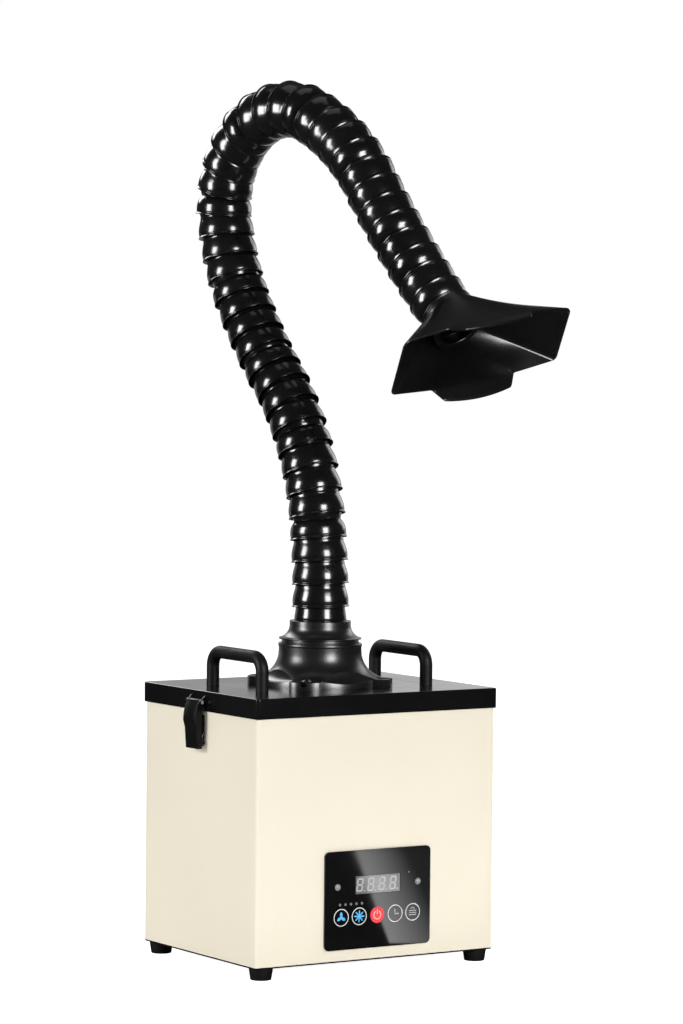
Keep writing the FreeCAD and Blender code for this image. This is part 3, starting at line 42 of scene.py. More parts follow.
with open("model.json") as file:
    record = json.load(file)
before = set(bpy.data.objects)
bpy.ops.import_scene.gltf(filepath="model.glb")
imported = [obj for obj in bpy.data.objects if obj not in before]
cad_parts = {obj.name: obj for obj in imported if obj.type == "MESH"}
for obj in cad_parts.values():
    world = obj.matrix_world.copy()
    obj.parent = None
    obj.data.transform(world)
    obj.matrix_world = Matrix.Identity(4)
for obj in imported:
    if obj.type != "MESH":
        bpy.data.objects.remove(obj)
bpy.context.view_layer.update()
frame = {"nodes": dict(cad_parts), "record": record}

MM = 0.001
LID_TOP = 267.0
PITCH = 22.1
FIRST_CENTRE = LID_TOP + 81.4
ARCH_ANGLE = math.radians(10.3)
HOOD_ROLL, HOOD_TILT = math.radians(14.4), math.radians(-9.9)
BEND_STRETCHES = ((4, -1.8), (7, -4.6), (4, 2.3), (4, 5.2), (9, 13.7), (5, 5.9), (7, -1.2))
SECTION_COUNTS = (4, 4, 4, 4, 4, 4, 4, 4, 4, 2, 2)
BALL, SOCKET, BORE = 24.6, 24.7, 21.0
HANDLE_PLACE, HANDLE_REACH, HANDLE_RISE = 94.0, 46.0, 39.0
HANDLE_RADIUS, HANDLE_BEND, HANDLE_FLAT = 6.25, 14.0, 16.0
FOOT_X, FOOT_Y = 122.0, 94.0
FASCIA_FACE = -108.0
KEY_PLACES, KEY_LEVEL = (-41.5, -21.1, -0.6, 19.8, 39.9), 54.7
LAMP_START, LAMP_STEP, LAMP_LEVEL = -43.0, 6.2, 67.0
DIGIT_START, DIGIT_STEP, DIGIT_LEVEL = -20.4, 12.5, 84.6
PIN_LENS = (35.4, 93.8)
SEAM_GAP, SOFT_EDGE_ANGLE = 0.000005, math.radians(40)


# Arrays of points


def arc_points(start, through, end, count):
    """Points of the circle through three (radius, height) points, evenly spaced by angle."""
    a, b, c = (np.array(p, float) for p in (start, through, end))
    rows = 2 * np.array([b - a, c - a])
    centre = np.linalg.solve(rows, np.array([b @ b - a @ a, c @ c - a @ a]))
    radius = np.linalg.norm(a - centre)
    angles = [math.atan2(*(p - centre)[::-1]) for p in (a, b, c)]
    sweep = (angles[2] - angles[0]) % (2 * math.pi)
    if (angles[1] - angles[0]) % (2 * math.pi) > sweep:
        sweep -= 2 * math.pi
    turn = angles[0] + sweep * np.linspace(0, 1, count)
    return centre + radius * np.stack([np.cos(turn), np.sin(turn)], 1)


def bent(points, cut, steps=4):
    """An open run of corners, each inner one replaced by a quadratic curve that starts cut before it."""
    p = np.array(points, float)
    before, here, after = p[:-2], p[1:-1], p[2:]
    back, ahead = before - here, after - here
    back_length = np.linalg.norm(back, axis=1, keepdims=True)
    ahead_length = np.linalg.norm(ahead, axis=1, keepdims=True)
    a = here + back / back_length * np.minimum(cut, back_length * 0.45)
    b = here + ahead / ahead_length * np.minimum(cut, ahead_length * 0.45)
    w = np.linspace(0, 1, steps)[None, :, None]
    curve = (1 - w) ** 2 * a[:, None] + 2 * w * (1 - w) * here[:, None] + w ** 2 * b[:, None]
    return np.concatenate([p[:1], curve.reshape(-1, p.shape[1]), p[-1:]])


def sphere_points(radius, centre, low, high, count):
    """A sphere's outline between two heights above its centre, evenly spaced by angle."""
    angle = np.linspace(math.asin(low / radius), math.asin(high / radius), count)
    return np.stack([radius * np.cos(angle), centre + radius * np.sin(angle)], 1)


def full_turn(sides):
    """The angles of evenly spaced sides, once round."""
    return np.linspace(0, 2 * math.pi, sides, endpoint=False)


def around(r, z, angle):
    """Points about Z: x = r cos a, y = r sin a."""
    return np.stack(np.broadcast_arrays(r * np.cos(angle), r * np.sin(angle), z), -1)


def turned(profile, angle):
    """A profile (r, z) turned about Z, as rows by angles of points."""
    profile = np.asarray(profile, float)
    return around(profile[:, 0, None], profile[:, 1, None], angle)


def grid_faces(rows, columns, wrap_rows, wrap_columns):
    """The four-cornered faces of a grid of points, closed on itself where asked."""
    i = np.arange(rows if wrap_rows else rows - 1)[:, None]
    j = np.arange(columns if wrap_columns else columns - 1)[None, :]
    near, far = i * columns, (i + 1) % rows * columns
    right = (j + 1) % columns
    return np.stack([near + j, near + right, far + right, far + j], -1).reshape(-1, 4)


def joined(*parts):
    """Several (points, faces) pairs as one pair."""
    counts = np.cumsum([0] + [len(points) for points, _ in parts[:-1]])
    points = np.concatenate([p for p, _ in parts])
    return points, np.concatenate([faces + count for (_, faces), count in zip(parts, counts)])


def turned_shell(profile, sides):
    """The (points, faces) of a closed profile turned about Z."""
    points = turned(profile, full_turn(sides))
    return points.reshape(-1, 3), grid_faces(len(points), sides, True, True)


def swept_rod(path, radius, sides):
    """A round bar along a path p at one x: p + radius (cos a across + sin a up), with up square to both."""
    along = np.gradient(path, axis=0)
    along /= np.linalg.norm(along, axis=1, keepdims=True)
    across = np.tile([1.0, 0, 0], (len(path), 1))
    up = np.cross(along, across)
    a = full_turn(sides)[None, :, None]
    ring = path[:, None] + radius * (np.cos(a) * across[:, None] + np.sin(a) * up[:, None])
    ends = [path[[0]].repeat(sides, 0)[None], ring, path[[-1]].repeat(sides, 0)[None]]
    points = np.concatenate(ends)
    return points.reshape(-1, 3), grid_faces(len(points), sides, False, True)


# Pieces


def add_piece(name, points, faces, finish, body):
    """A mesh object from millimetre points, on a body."""
    mesh = bpy.data.meshes.new(name)
    mesh.from_pydata((points * MM).tolist(), [], faces.tolist())
    mesh.materials.append(bpy.data.materials[finish])
    piece = bpy.data.objects.new(name, mesh)
    bpy.context.scene.collection.objects.link(piece)
    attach(piece, body)
    return piece


def make_piece(name, points, faces, finish, body, slot, sharp=35.0):
    """A piece that faces outwards, smooth but for edges sharper than an angle."""
    a, b, c, d = (points[faces[:, k]] for k in range(4))
    volume = np.einsum("ij,ij->i", a, np.cross(b, c) + np.cross(c, d)).sum()
    if volume < 0:
        faces = faces[:, ::-1]
    piece = add_piece(name, points, faces, finish, body)
    mesh = piece.data
    mesh.validate()
    mesh.polygons.foreach_set("use_smooth", np.ones(len(mesh.polygons), bool))
    mesh.set_sharp_from_angle(angle=math.radians(sharp))
    return piece


def weld_piece(piece, distance=0.00001):
    """Merges a piece's coinciding points, so that seams and poles are closed."""
    work = bmesh.new()
    work.from_mesh(piece.data)
    bmesh.ops.remove_doubles(work, verts=work.verts, dist=distance)
    bmesh.ops.recalc_face_normals(work, faces=work.faces)
    work.to_mesh(piece.data)
    work.free()


def soften(node, width):
    """Rounds a CAD node's sharp edges for the light to catch, with live modifiers."""
    item = frame["nodes"][node]
    weld = item.modifiers.new("Close seams", "WELD")
    weld.merge_threshold = SEAM_GAP
    bevel = item.modifiers.new("Soft edges", "BEVEL")
    bevel.width = width * MM
    bevel.segments = 2
    bevel.limit_method = "ANGLE"
    bevel.angle_limit = SOFT_EDGE_ANGLE


# Finishes


def new_group(name, inputs, outputs):
    """An empty shader node group with named sockets."""
    group = bpy.data.node_groups.new(name, "ShaderNodeTree")
    for socket, kind in inputs:
        group.interface.new_socket(socket, in_out="INPUT", socket_type=kind)
    for socket in outputs:
        group.interface.new_socket(socket, in_out="OUTPUT", socket_type="NodeSocketFloat")
    return group, group.nodes.new("NodeGroupInput"), group.nodes.new("NodeGroupOutput")


def noise(tree, vector, scale, detail=3.0, rough=0.55):
    """A noise texture whose scale is a number or a socket."""
    node = tree.nodes.new("ShaderNodeTexNoise")
    node.inputs["Detail"].default_value = detail
    node.inputs["Roughness"].default_value = rough
    tree.links.new(vector, node.inputs["Vector"])
    if isinstance(scale, (int, float)):
        node.inputs["Scale"].default_value = scale
    else:
        tree.links.new(scale, node.inputs["Scale"])
    return node.outputs["Fac"]


def remap(tree, value, low, high, to_low, to_high):
    """A value moved from one range to another and held inside it."""
    node = tree.nodes.new("ShaderNodeMapRange")
    tree.links.new(value, node.inputs["Value"])
    for name, number in (("From Min", low), ("From Max", high), ("To Min", to_low), ("To Max", to_high)):
        node.inputs[name].default_value = number
    return node.outputs["Result"]


def make_grain_group():
    """Grain: a slow drift for tone and gloss, and a fine even height, both from noise."""
    group, start, end = new_group("Moulded grain", (("Vector", "NodeSocketVector"),
                                                    ("Drift Scale", "NodeSocketFloat"),
                                                    ("Grain Scale", "NodeSocketFloat")), ("Drift", "Grain"))
    drift = noise(group, start.outputs["Vector"], start.outputs["Drift Scale"], 4.0)
    grain = noise(group, start.outputs["Vector"], start.outputs["Grain Scale"], 2.0)
    group.links.new(remap(group, drift, 0.3, 0.7, 0.0, 1.0), end.inputs["Drift"])
    group.links.new(grain, end.inputs["Grain"])


def make_scuff_group():
    """Scuffs: thin marks where stretched cell edges and a patchy noise agree."""
    group, start, end = new_group("Handling scuffs", (("Vector", "NodeSocketVector"),
                                                      ("Scale", "NodeSocketFloat")), ("Scuff",))
    turn = group.nodes.new("ShaderNodeMapping")
    turn.inputs["Rotation"].default_value = (0.4, 0.7, 0.9)
    turn.inputs["Scale"].default_value = (1.0, 0.12, 0.35)
    group.links.new(start.outputs["Vector"], turn.inputs["Vector"])
    cells = group.nodes.new("ShaderNodeTexVoronoi")
    cells.feature = "DISTANCE_TO_EDGE"
    group.links.new(turn.outputs["Vector"], cells.inputs["Vector"])
    group.links.new(start.outputs["Scale"], cells.inputs["Scale"])
    line = remap(group, cells.outputs["Distance"], 0.0, 0.012, 1.0, 0.0)
    patch = remap(group, noise(group, start.outputs["Vector"], 9.0), 0.56, 0.7, 0.0, 1.0)
    both = group.nodes.new("ShaderNodeMath")
    both.operation = "MULTIPLY"
    group.links.new(line, both.inputs[0])
    group.links.new(patch, both.inputs[1])
    group.links.new(both.outputs["Value"], end.inputs["Scuff"])


def blend_colours(tree, factor, first, second):
    """Two colours, or a colour socket and a colour, mixed by a mask."""
    node = tree.nodes.new("ShaderNodeMix")
    node.data_type = "RGBA"
    tree.links.new(factor, node.inputs["Factor"])
    for socket, colour in ((node.inputs[6], first), (node.inputs[7], second)):
        if isinstance(colour, bpy.types.NodeSocket):
            tree.links.new(colour, socket)
        else:
            socket.default_value = (*colour, 1.0)
    return node.outputs[2]


def make_finish(name, dark, light, gloss, grain=(900.0, 0.1, 0.00005), drift=14.0, metal=0.0, scuff=None,
                stretch=None, sheen=0.0, specular=0.5):
    """A finish: tone drifts between two colours, gloss between two roughnesses, grain gives the bump.
    grain is (scale, strength, height in metres); scuff is (scale, colour); stretch draws the grain out."""
    material = bpy.data.materials.new(name)
    material.use_nodes = True
    tree = material.node_tree
    shader = tree.nodes["Principled BSDF"]
    place = tree.nodes.new("ShaderNodeTexCoord").outputs["Object"]
    if stretch:
        mapping = tree.nodes.new("ShaderNodeMapping")
        mapping.inputs["Scale"].default_value = stretch
        tree.links.new(place, mapping.inputs["Vector"])
        place = mapping.outputs["Vector"]
    group = tree.nodes.new("ShaderNodeGroup")
    group.node_tree = bpy.data.node_groups["Moulded grain"]
    group.inputs["Drift Scale"].default_value = drift
    group.inputs["Grain Scale"].default_value = grain[0]
    tree.links.new(place, group.inputs["Vector"])
    colour = blend_colours(tree, group.outputs["Drift"], dark, light)
    rough = remap(tree, group.outputs["Drift"], 0.0, 1.0, gloss[0], gloss[1])
    if scuff:
        marks = tree.nodes.new("ShaderNodeGroup")
        marks.node_tree = bpy.data.node_groups["Handling scuffs"]
        marks.inputs["Scale"].default_value = scuff[0]
        tree.links.new(place, marks.inputs["Vector"])
        colour = blend_colours(tree, marks.outputs["Scuff"], colour, scuff[1])
        add = tree.nodes.new("ShaderNodeMath")
        add.operation = "MULTIPLY_ADD"
        add.inputs[1].default_value = 0.25
        tree.links.new(marks.outputs["Scuff"], add.inputs[0])
        tree.links.new(rough, add.inputs[2])
        rough = add.outputs["Value"]
    tree.links.new(colour, shader.inputs["Base Color"])
    tree.links.new(rough, shader.inputs["Roughness"])
    bump = tree.nodes.new("ShaderNodeBump")
    bump.inputs["Strength"].default_value = grain[1]
    bump.inputs["Distance"].default_value = grain[2]
    tree.links.new(group.outputs["Grain"], bump.inputs["Height"])
    tree.links.new(bump.outputs["Normal"], shader.inputs["Normal"])
    shader.inputs["Metallic"].default_value = metal
    shader.inputs["Sheen Weight"].default_value = sheen
    shader.inputs["Specular IOR Level"].default_value = specular
    return material


def grey(level):
    """A neutral colour."""
    return (level, level, level)


def shade(colour, factor):
    """A colour made darker or lighter."""
    return tuple(min(1.0, channel * factor) for channel in colour)


SLOT_FINISHES = {
    "cream_paint": "cream powder coat", "black_paint": "black lid enamel", "handle_black": "soft black handle",
    "arm_black": "black arm gloss", "fascia_black": "black fascia film", "display_dark": "display filter grey",
    "rubber_black": "foot rubber", "moulded_black": "black moulding", "stud_grey": "stud grey",
    "bright_steel": "bright screw steel", "zinc_steel": "zinc sheet", "cast_aluminium": "cast motor metal",
    "board_green": "board lacquer", "pin_brass": "contact brass", "winding_copper": "winding copper",
    "seal_foam": "seal foam", "filter_white": "filter fleece", "carbon_grey": "carbon mat",
}

SOFT_EDGES = {
    "base_plate": 0.3, "control_fascia": 0.35, "lid_pan": 0.7, "latch_lever_left": 0.9,
    "latch_lever_right": 0.9, "latch_brackets": 0.3, "latch_strikes": 0.3, "exhaust_grille": 0.5,
    "power_inlet": 0.6, "switch_frame": 0.5, "switch_rocker": 0.4,
}


# Arm


def joint_frames():
    """Each segment's centre and axes along the arm: headings add up the bends in the arch's upright plane."""
    bends = np.repeat([bend for _, bend in BEND_STRETCHES], [count for count, _ in BEND_STRETCHES])
    heading = np.radians(np.cumsum(bends))
    ahead = np.array([math.sin(ARCH_ANGLE), -math.cos(ARCH_ANGLE), 0.0])
    side = np.array([math.cos(ARCH_ANGLE), math.sin(ARCH_ANGLE), 0.0])
    axis = np.sin(heading)[:, None] * ahead + np.cos(heading)[:, None] * np.array([0.0, 0.0, 1.0])
    steps = np.concatenate([np.zeros((1, 3)), np.cumsum(axis * PITCH, axis=0)])
    centres = np.array([0.0, 0.0, FIRST_CENTRE]) + steps
    axis = np.concatenate([axis, axis[-1:]])
    across = np.tile(side, (len(axis), 1))
    return centres, np.stack([across, np.cross(axis, across), axis], 1)


CENTRES, AXES = joint_frames()


def placed(points, index, roll=0.0, tilt=0.0):
    """Points about a segment's own centre, tilted about its x, rolled about its axis and moved to its place."""
    c, n, ct, nt = math.cos(roll), math.sin(roll), math.cos(tilt), math.sin(tilt)
    rolled = np.array([[c, n, 0.0], [-n, c, 0.0], [0.0, 0.0, 1.0]]) @ AXES[index]
    axes = np.array([[1.0, 0.0, 0.0], [0.0, ct, nt], [0.0, -nt, ct]]) @ rolled
    return points @ axes + CENTRES[index]


def lip_profile():
    """The rim of a socket: a short flat foot, a rounded outer edge and the undercut above it."""
    return bent([(27.7, -5.0), (28.2, -5.0), (28.2, -4.3), (27.15, -3.1), (27.3, -2.3)], 0.28, 4)


def segment_profile(free):
    """One hose segment: rim, swelling barrel, shoulder, ball, bore, socket with its flared mouth. The shoulder
    of a segment that the next one bends on is cut free of its rim."""
    barrel = arc_points((27.35, -2.1), (27.5, 1.5), (26.75, 6.6), 9)
    if free:
        shoulder = [(26.75, 6.6), (25.2, 10.0), (23.0, 12.9), (22.9, 13.1), (22.9, 13.2)]
    else:
        shoulder = [(26.75, 6.6), (25.8, 10.2), (24.55, 13.8), (24.5, 15.6), (24.0, PITCH - 5.4)]
    shoulder = bent(shoulder, 1.5, 5)[1:-1]
    ball = sphere_points(BALL, PITCH, -8.9 if free else -5.2, 6.0, 9)
    bore = np.array([(BORE + 0.4, PITCH + 6.0), (BORE, PITCH + 5.6), (BORE, 13.0)])
    inside = sphere_points(SOCKET, 0.0, 1.2, 12.9, 7)[::-1]
    return np.concatenate([lip_profile(), barrel, shoulder, ball, bore, inside, [(25.6, -1.2)]])


class ExtractorFinishes(bpy.types.PropertyGroup):
    """The colours and sizes of the extractor that a user would change."""
    cream: bpy.props.FloatVectorProperty(name="Cabinet cream", description="Powder coat of the cabinet",
                                         subtype="COLOR", size=3, min=0, max=1, default=(0.86, 0.795, 0.645))
    black: bpy.props.FloatVectorProperty(name="Arm black", description="Moulded black of arm, hood and flange",
                                         subtype="COLOR", size=3, min=0, max=1, default=(0.0035, 0.0035, 0.0038))
    enamel: bpy.props.FloatVectorProperty(name="Lid black", description="Enamel of the lid",
                                          subtype="COLOR", size=3, min=0, max=1, default=(0.0035, 0.0035, 0.004))
    blue: bpy.props.FloatVectorProperty(name="Key blue", description="Fan symbols on the keys",
                                        subtype="COLOR", size=3, min=0, max=1, default=(0.07, 0.46, 0.82))
    red: bpy.props.FloatVectorProperty(name="Key red", description="Disc of the power key",
                                       subtype="COLOR", size=3, min=0, max=1, default=(0.85, 0.035, 0.045))
    sides: bpy.props.IntProperty(name="Arm sides", description="Sides of a turned arm piece", default=80, min=24)
    key_radius: bpy.props.FloatProperty(name="Key radius", description="Outer radius of a key's ring",
                                        unit="LENGTH", default=0.0084, min=0.004, max=0.01)
    print_height: bpy.props.FloatProperty(name="Print height", description="Height of the print on the fascia",
                                          unit="LENGTH", default=0.00006, min=0.00001, max=0.0005)


def looks():
    """The scene's settings for the extractor."""
    return bpy.context.scene.extractor_finishes


class EXTRACTOR_OT_finishes(bpy.types.Operator):
    """Makes the finishes and gives each CAD node its own"""
    bl_idname = "extractor.finishes"
    bl_label = "Finishes"

    def execute(self, context):
        make_grain_group()
        make_scuff_group()
        p = looks()
        cream, black, enamel = tuple(p.cream), tuple(p.black), tuple(p.enamel)
        make_finish("cream powder coat", shade(cream, 0.97), cream, (0.42, 0.5), (1400.0, 0.12, 0.00004), 6.0)
        make_finish("black lid enamel", enamel, shade(enamel, 1.5), (0.14, 0.2), (700.0, 0.08, 0.00003), 10.0,
                    scuff=(60.0, grey(0.03)), specular=0.35)
        make_finish("soft black handle", grey(0.004), grey(0.008), (0.45, 0.55), (2600.0, 0.35, 0.00008), 30.0,
                    specular=0.12)
        make_finish("black arm gloss", black, shade(black, 1.6), (0.15, 0.2), (500.0, 0.05, 0.00003), 20.0,
                    scuff=(45.0, grey(0.012)), specular=0.45)
        make_finish("black hood satin", black, shade(black, 1.6), (0.22, 0.27), (1200.0, 0.1, 0.00004), 20.0,
                    specular=0.32)
        make_finish("black flange satin", shade(black, 1.3), shade(black, 2.2), (0.26, 0.32),
                    (1200.0, 0.12, 0.00004), 20.0, scuff=(45.0, grey(0.012)), specular=0.45)
        make_finish("black fascia film", (0.002, 0.002, 0.0023), (0.003, 0.003, 0.0033), (0.04, 0.06),
                    (300.0, 0.01, 0.00002), 12.0)
        make_finish("display filter grey", grey(0.13), grey(0.16), (0.06, 0.09), (800.0, 0.02, 0.00002),
                    specular=0.8)
        make_finish("foot rubber", grey(0.004), grey(0.007), (0.55, 0.7), (1800.0, 0.4, 0.0001), specular=0.12)
        make_finish("black moulding", (0.003, 0.003, 0.0033), (0.005, 0.005, 0.0053), (0.24, 0.32),
                    (1600.0, 0.2, 0.00005), scuff=(70.0, grey(0.02)), specular=0.14)
        make_finish("stud grey", (0.22, 0.22, 0.225), (0.28, 0.28, 0.285), (0.35, 0.45), (1200.0, 0.15, 0.00004))
        make_finish("bright screw steel", (0.5, 0.5, 0.51), (0.62, 0.62, 0.63), (0.28, 0.4),
                    (1500.0, 0.1, 0.00003), metal=1.0)
        make_finish("zinc sheet", (0.42, 0.43, 0.44), (0.55, 0.56, 0.57), (0.35, 0.5), (600.0, 0.1, 0.00003),
                    25.0, metal=1.0)
        make_finish("cast motor metal", (0.5, 0.51, 0.52), (0.6, 0.6, 0.61), (0.4, 0.55), (1000.0, 0.4, 0.0001),
                    metal=1.0)
        make_finish("board lacquer", (0.01, 0.06, 0.02), (0.02, 0.09, 0.035), (0.3, 0.4), (700.0, 0.1, 0.00004),
                    90.0)
        make_finish("contact brass", (0.6, 0.42, 0.16), (0.7, 0.52, 0.22), (0.25, 0.35), metal=1.0)
        make_finish("winding copper", (0.5, 0.2, 0.08), (0.62, 0.28, 0.12), (0.3, 0.45), (900.0, 0.5, 0.0002),
                    metal=1.0, stretch=(1.0, 1.0, 6.0))
        make_finish("seal foam", (0.015, 0.015, 0.016), grey(0.03), (0.85, 0.95), (1400.0, 0.6, 0.0003))
        make_finish("filter fleece", (0.62, 0.62, 0.6), (0.8, 0.8, 0.77), (0.85, 0.95), (420.0, 0.8, 0.0006), 60.0,
                    sheen=0.3, stretch=(1.0, 1.6, 1.0))
        make_finish("carbon mat", (0.01, 0.01, 0.011), (0.03, 0.03, 0.032), (0.7, 0.9), (500.0, 0.9, 0.0008), 120.0)
        make_finish("print white", (0.74, 0.74, 0.75), (0.82, 0.82, 0.83), (0.3, 0.4))
        make_finish("print rose", (0.85, 0.42, 0.42), (0.9, 0.5, 0.5), (0.3, 0.4))
        make_finish("print pale", (0.36, 0.4, 0.43), (0.42, 0.46, 0.49), (0.3, 0.4))
        make_finish("print blue", tuple(p.blue), shade(tuple(p.blue), 1.25), (0.3, 0.4))
        make_finish("print red", tuple(p.red), shade(tuple(p.red), 1.2), (0.3, 0.4))
        make_finish("digit grey", grey(0.46), grey(0.54), (0.25, 0.35))
        make_finish("dot grey", grey(0.16), grey(0.2), (0.3, 0.4))
        slots = {entry["node"]: entry["material_slot"] for entry in frame["record"]["subparts"]}
        for node, item in frame["nodes"].items():
            item.data.materials.clear()
            item.data.materials.append(bpy.data.materials[SLOT_FINISHES[slots[node]]])
        # The base plate is drawn in the lid's black enamel instead of its cream slot, so a dark line runs along the
        # foot of the walls.
        frame["nodes"]["base_plate"].data.materials[0] = bpy.data.materials["black lid enamel"]
        for node, width in SOFT_EDGES.items():
            soften(node, width)
        return {"FINISHED"}


class EXTRACTOR_OT_arm(bpy.types.Operator):
    """Builds the arm's ball-and-socket segments, section by section"""
    bl_idname = "extractor.arm"
    bl_label = "Arm"

    def execute(self, context):
        held, faces = turned_shell(segment_profile(False), looks().sides)
        free, free_faces = turned_shell(segment_profile(True), looks().sides)
        start = 0
        for number, count in enumerate(SECTION_COUNTS, start=1):
            last = start + count - 1
            runs = [(placed(held, index), faces) for index in range(start, last)]
            runs.append((placed(free, last), free_faces))
            piece = make_piece("arm_segments_%02d" % number, *joined(*runs), "black arm gloss",
                               "arm_%02d" % number, "arm_black")
            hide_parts("hose_section_%02d" % number)
            start += count
        return {"FINISHED"}


# Collar and flange

SET_SCREW_TURN, SET_SCREW_HEIGHT, COLLAR_RADIUS, COLLAR_TOP = math.radians(225), 60.2, 30.0, 63.0
BUTTON_PROFILE = ((0.05, -0.3), (1.0, -0.3), (1.2, 0.3), (1.7, 0.45), (2.2, 0.3), (2.2, -1.0), (0.05, -1.0))
FLANGE_NECK, FLANGE_RADIUS, FLANGE_RIM, FLANGE_BORE = 40.4, 58.0, 5.0, 34.0
LUG_REACH, LUG_HALF_WIDTH, LUG_SPAN, SCREW_CIRCLE = 72.0, 15.0, 0.3, 63.0
WELL_RADIUS, WELL_FLOOR, SLOT_HALF_WIDTH = 6.9, 3.0, 2.9
LEAF_HALF_TURN, LEAF_DEPTH, LEAF_END_RISE = math.radians(31), 11.0, 2.8
BELL_HEIGHTS = arc_points((FLANGE_NECK, 34.5), (45.2, 18.8), (61.5, 7.6), 60)


class EXTRACTOR_OT_collar(bpy.types.Operator):
    """Turns the swivel collar with the first ball, and the washer under it"""
    bl_idname = "extractor.collar"
    bl_label = "Collar"

    def execute(self, context):
        skirt = arc_points((40.4, 46.2), (33.0, 50.6), (COLLAR_RADIUS, 57.5), 12)
        foot = bent([(31.0, 45.0), (40.4, 45.0), (40.4, 46.2), (39.1, 46.6)], 0.4)[:-1]
        collar = bent([(COLLAR_RADIUS, 57.5), (COLLAR_RADIUS, COLLAR_TOP), (26.0, COLLAR_TOP), (25.0, 62.0),
                       (BORE, 62.0)], 0.7)[1:]
        inside = np.array([(26.5, 57.5), (26.5, 26.5), (31.0, 26.5)])
        body = turned_shell(np.concatenate([foot, skirt, collar, inside]), looks().sides)
        out = np.array([math.cos(SET_SCREW_TURN), math.sin(SET_SCREW_TURN), 0.0])
        across = np.array([-out[1], out[0], 0.0])
        button, facets = turned_shell(BUTTON_PROFILE, 32)
        button = button @ np.array([across, [0.0, 0.0, 1.0], out])
        button = button + out * COLLAR_RADIUS + np.array([0, 0, SET_SCREW_HEIGHT])
        points, faces = joined(body, (button, facets))
        lift = np.array([0, 0, LID_TOP])
        piece = make_piece("collar_turned", points + lift, faces, "black flange satin", "collar", "arm_black")
        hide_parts("swivel_collar")
        neck = bent([(25.2, 62.1), (25.6, 66.0), (24.5, 72.5), (24.3, 75.6)], 1.2)[:-1]
        ball = sphere_points(BALL, 81.4, -5.2, 6.0, 12)
        points, faces = turned_shell(np.concatenate([neck, ball, [(BORE, 87.4), (BORE, 62.1)]]), looks().sides)
        make_piece("collar_ball", points + lift, faces, "black arm gloss", "collar", "arm_black")
        ring = bent([(31.1, 40.0), (31.1, 39.65), (37.7, 39.65), (37.7, 44.95), (31.1, 44.95), (31.1, 44.0)], 0.3)
        points, faces = turned_shell(ring, looks().sides)
        piece = make_piece("washer_turned", points + lift, faces, "black flange satin", "lid", "arm_black")
        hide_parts("swivel_washer")
        return {"FINISHED"}


def flange_height(along, across, r, off):
    """The flange's upper face: the bell's arc z(r) flows into the lugs and their screw wells. Between two lugs a
    leaf is scooped out, from where the bell is at r = 58 - 11 w^0.75 down to the rim, w = 1 - (turn / 31 deg)^2."""
    height = np.interp(r, BELL_HEIGHTS[:, 0], BELL_HEIGHTS[:, 1])
    well = np.clip((WELL_RADIUS - np.hypot(along - SCREW_CIRCLE, across)) / 0.8, 0, 1)
    slot = np.clip((SLOT_HALF_WIDTH - across) / 0.6, 0, 1) * np.clip((along - SCREW_CIRCLE + 1.0) / 0.8, 0, 1)
    height = height + (WELL_FLOOR - height) * np.maximum(well, slot)
    w = np.clip(1 - (off / LEAF_HALF_TURN) ** 2, 0, 1)
    top = FLANGE_RADIUS - LEAF_DEPTH * w ** 0.75
    rim = FLANGE_RIM + LEAF_END_RISE * (1 - w)
    start = np.interp(top, BELL_HEIGHTS[:, 0], BELL_HEIGHTS[:, 1])
    share = np.clip((r - top) / np.maximum(FLANGE_RADIUS - top, 0.01), 0, 1)
    leaf = rim + (start - rim) * (1 - share) ** 2.4
    return np.where((w > 0) & (r > top), np.minimum(height, leaf), height)


class EXTRACTOR_OT_flange(bpy.types.Operator):
    """Builds the flange on the lid: bell, lugs with screw wells, scoops between them"""
    bl_idname = "extractor.flange"
    bl_label = "Flange"

    def execute(self, context):
        sides = 720
        angle = full_turn(sides)
        off = np.abs((angle + math.pi / 4) % (math.pi / 2) - math.pi / 4)
        near = math.pi / 4 - off
        lug = np.minimum(LUG_HALF_WIDTH / np.maximum(np.sin(near), 0.01),
                         LUG_REACH - 3.0 * (np.tan(near) * 4.6) ** 2)
        edge = np.maximum(FLANGE_RADIUS, np.where(near < LUG_SPAN, lug, 0.0))
        r = FLANGE_NECK + (edge - 0.5 - FLANGE_NECK) * np.linspace(0, 1, 72)[:, None]
        height = flange_height(r * np.cos(near), r * np.sin(near), r, off)
        neck = turned([(FLANGE_BORE, 30.6), (31.05, 30.6), (31.05, 39.6), (37.8, 39.6), (37.8, 40.9),
                       (FLANGE_NECK, 40.9), (40.8, 40.75), (41.0, 40.3), (41.0, 38.9), (40.8, 38.4),
                       (40.45, 38.2)], angle)
        rim = [around(radius, level, angle)[None] for radius, level in (
            (edge - 0.15, height[-1] - 0.12), (edge, height[-1] - 0.5), (edge, 0.0), (FLANGE_BORE, 0.0))]
        points = np.concatenate([neck, around(r, height, angle), *rim])
        faces = grid_faces(len(points), sides, True, True)
        points = points.reshape(-1, 3) + np.array([0, 0, LID_TOP])
        piece = make_piece("flange_bell", points, faces, "black flange satin", "lid", "arm_black", 42.0)
        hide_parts("hose_flange")
        return {"FINISHED"}


# Hood

HOOD_START, HOOD_DEPTH, HOOD_WALL, HOOD_LIP = 2.0, 55.0, 2.2, 0.7
HOOD_NECK, HOOD_CORNER, HOOD_FOLD = 27.8, 7.0, 9.0
HOOD_ROOT, HOOD_END = np.array([47.0, -36.5]), np.array([95.0, -31.25])
ROOT_TURN, START_TURN, STOP_TURN = -64.0, -31.0, -23.0
LOBE_TIP, LOBE_REACH, LOBE_RISE, LOBE_BOW = 38.0, 11.6, 6.0, 4.0
LOBE_CORNER, LOBE_FOOT, LOBE_SETBACK = 2.2, 1.8, 0.08
CUP_RADIUS, CUP_TOP = 27.1, 15.1


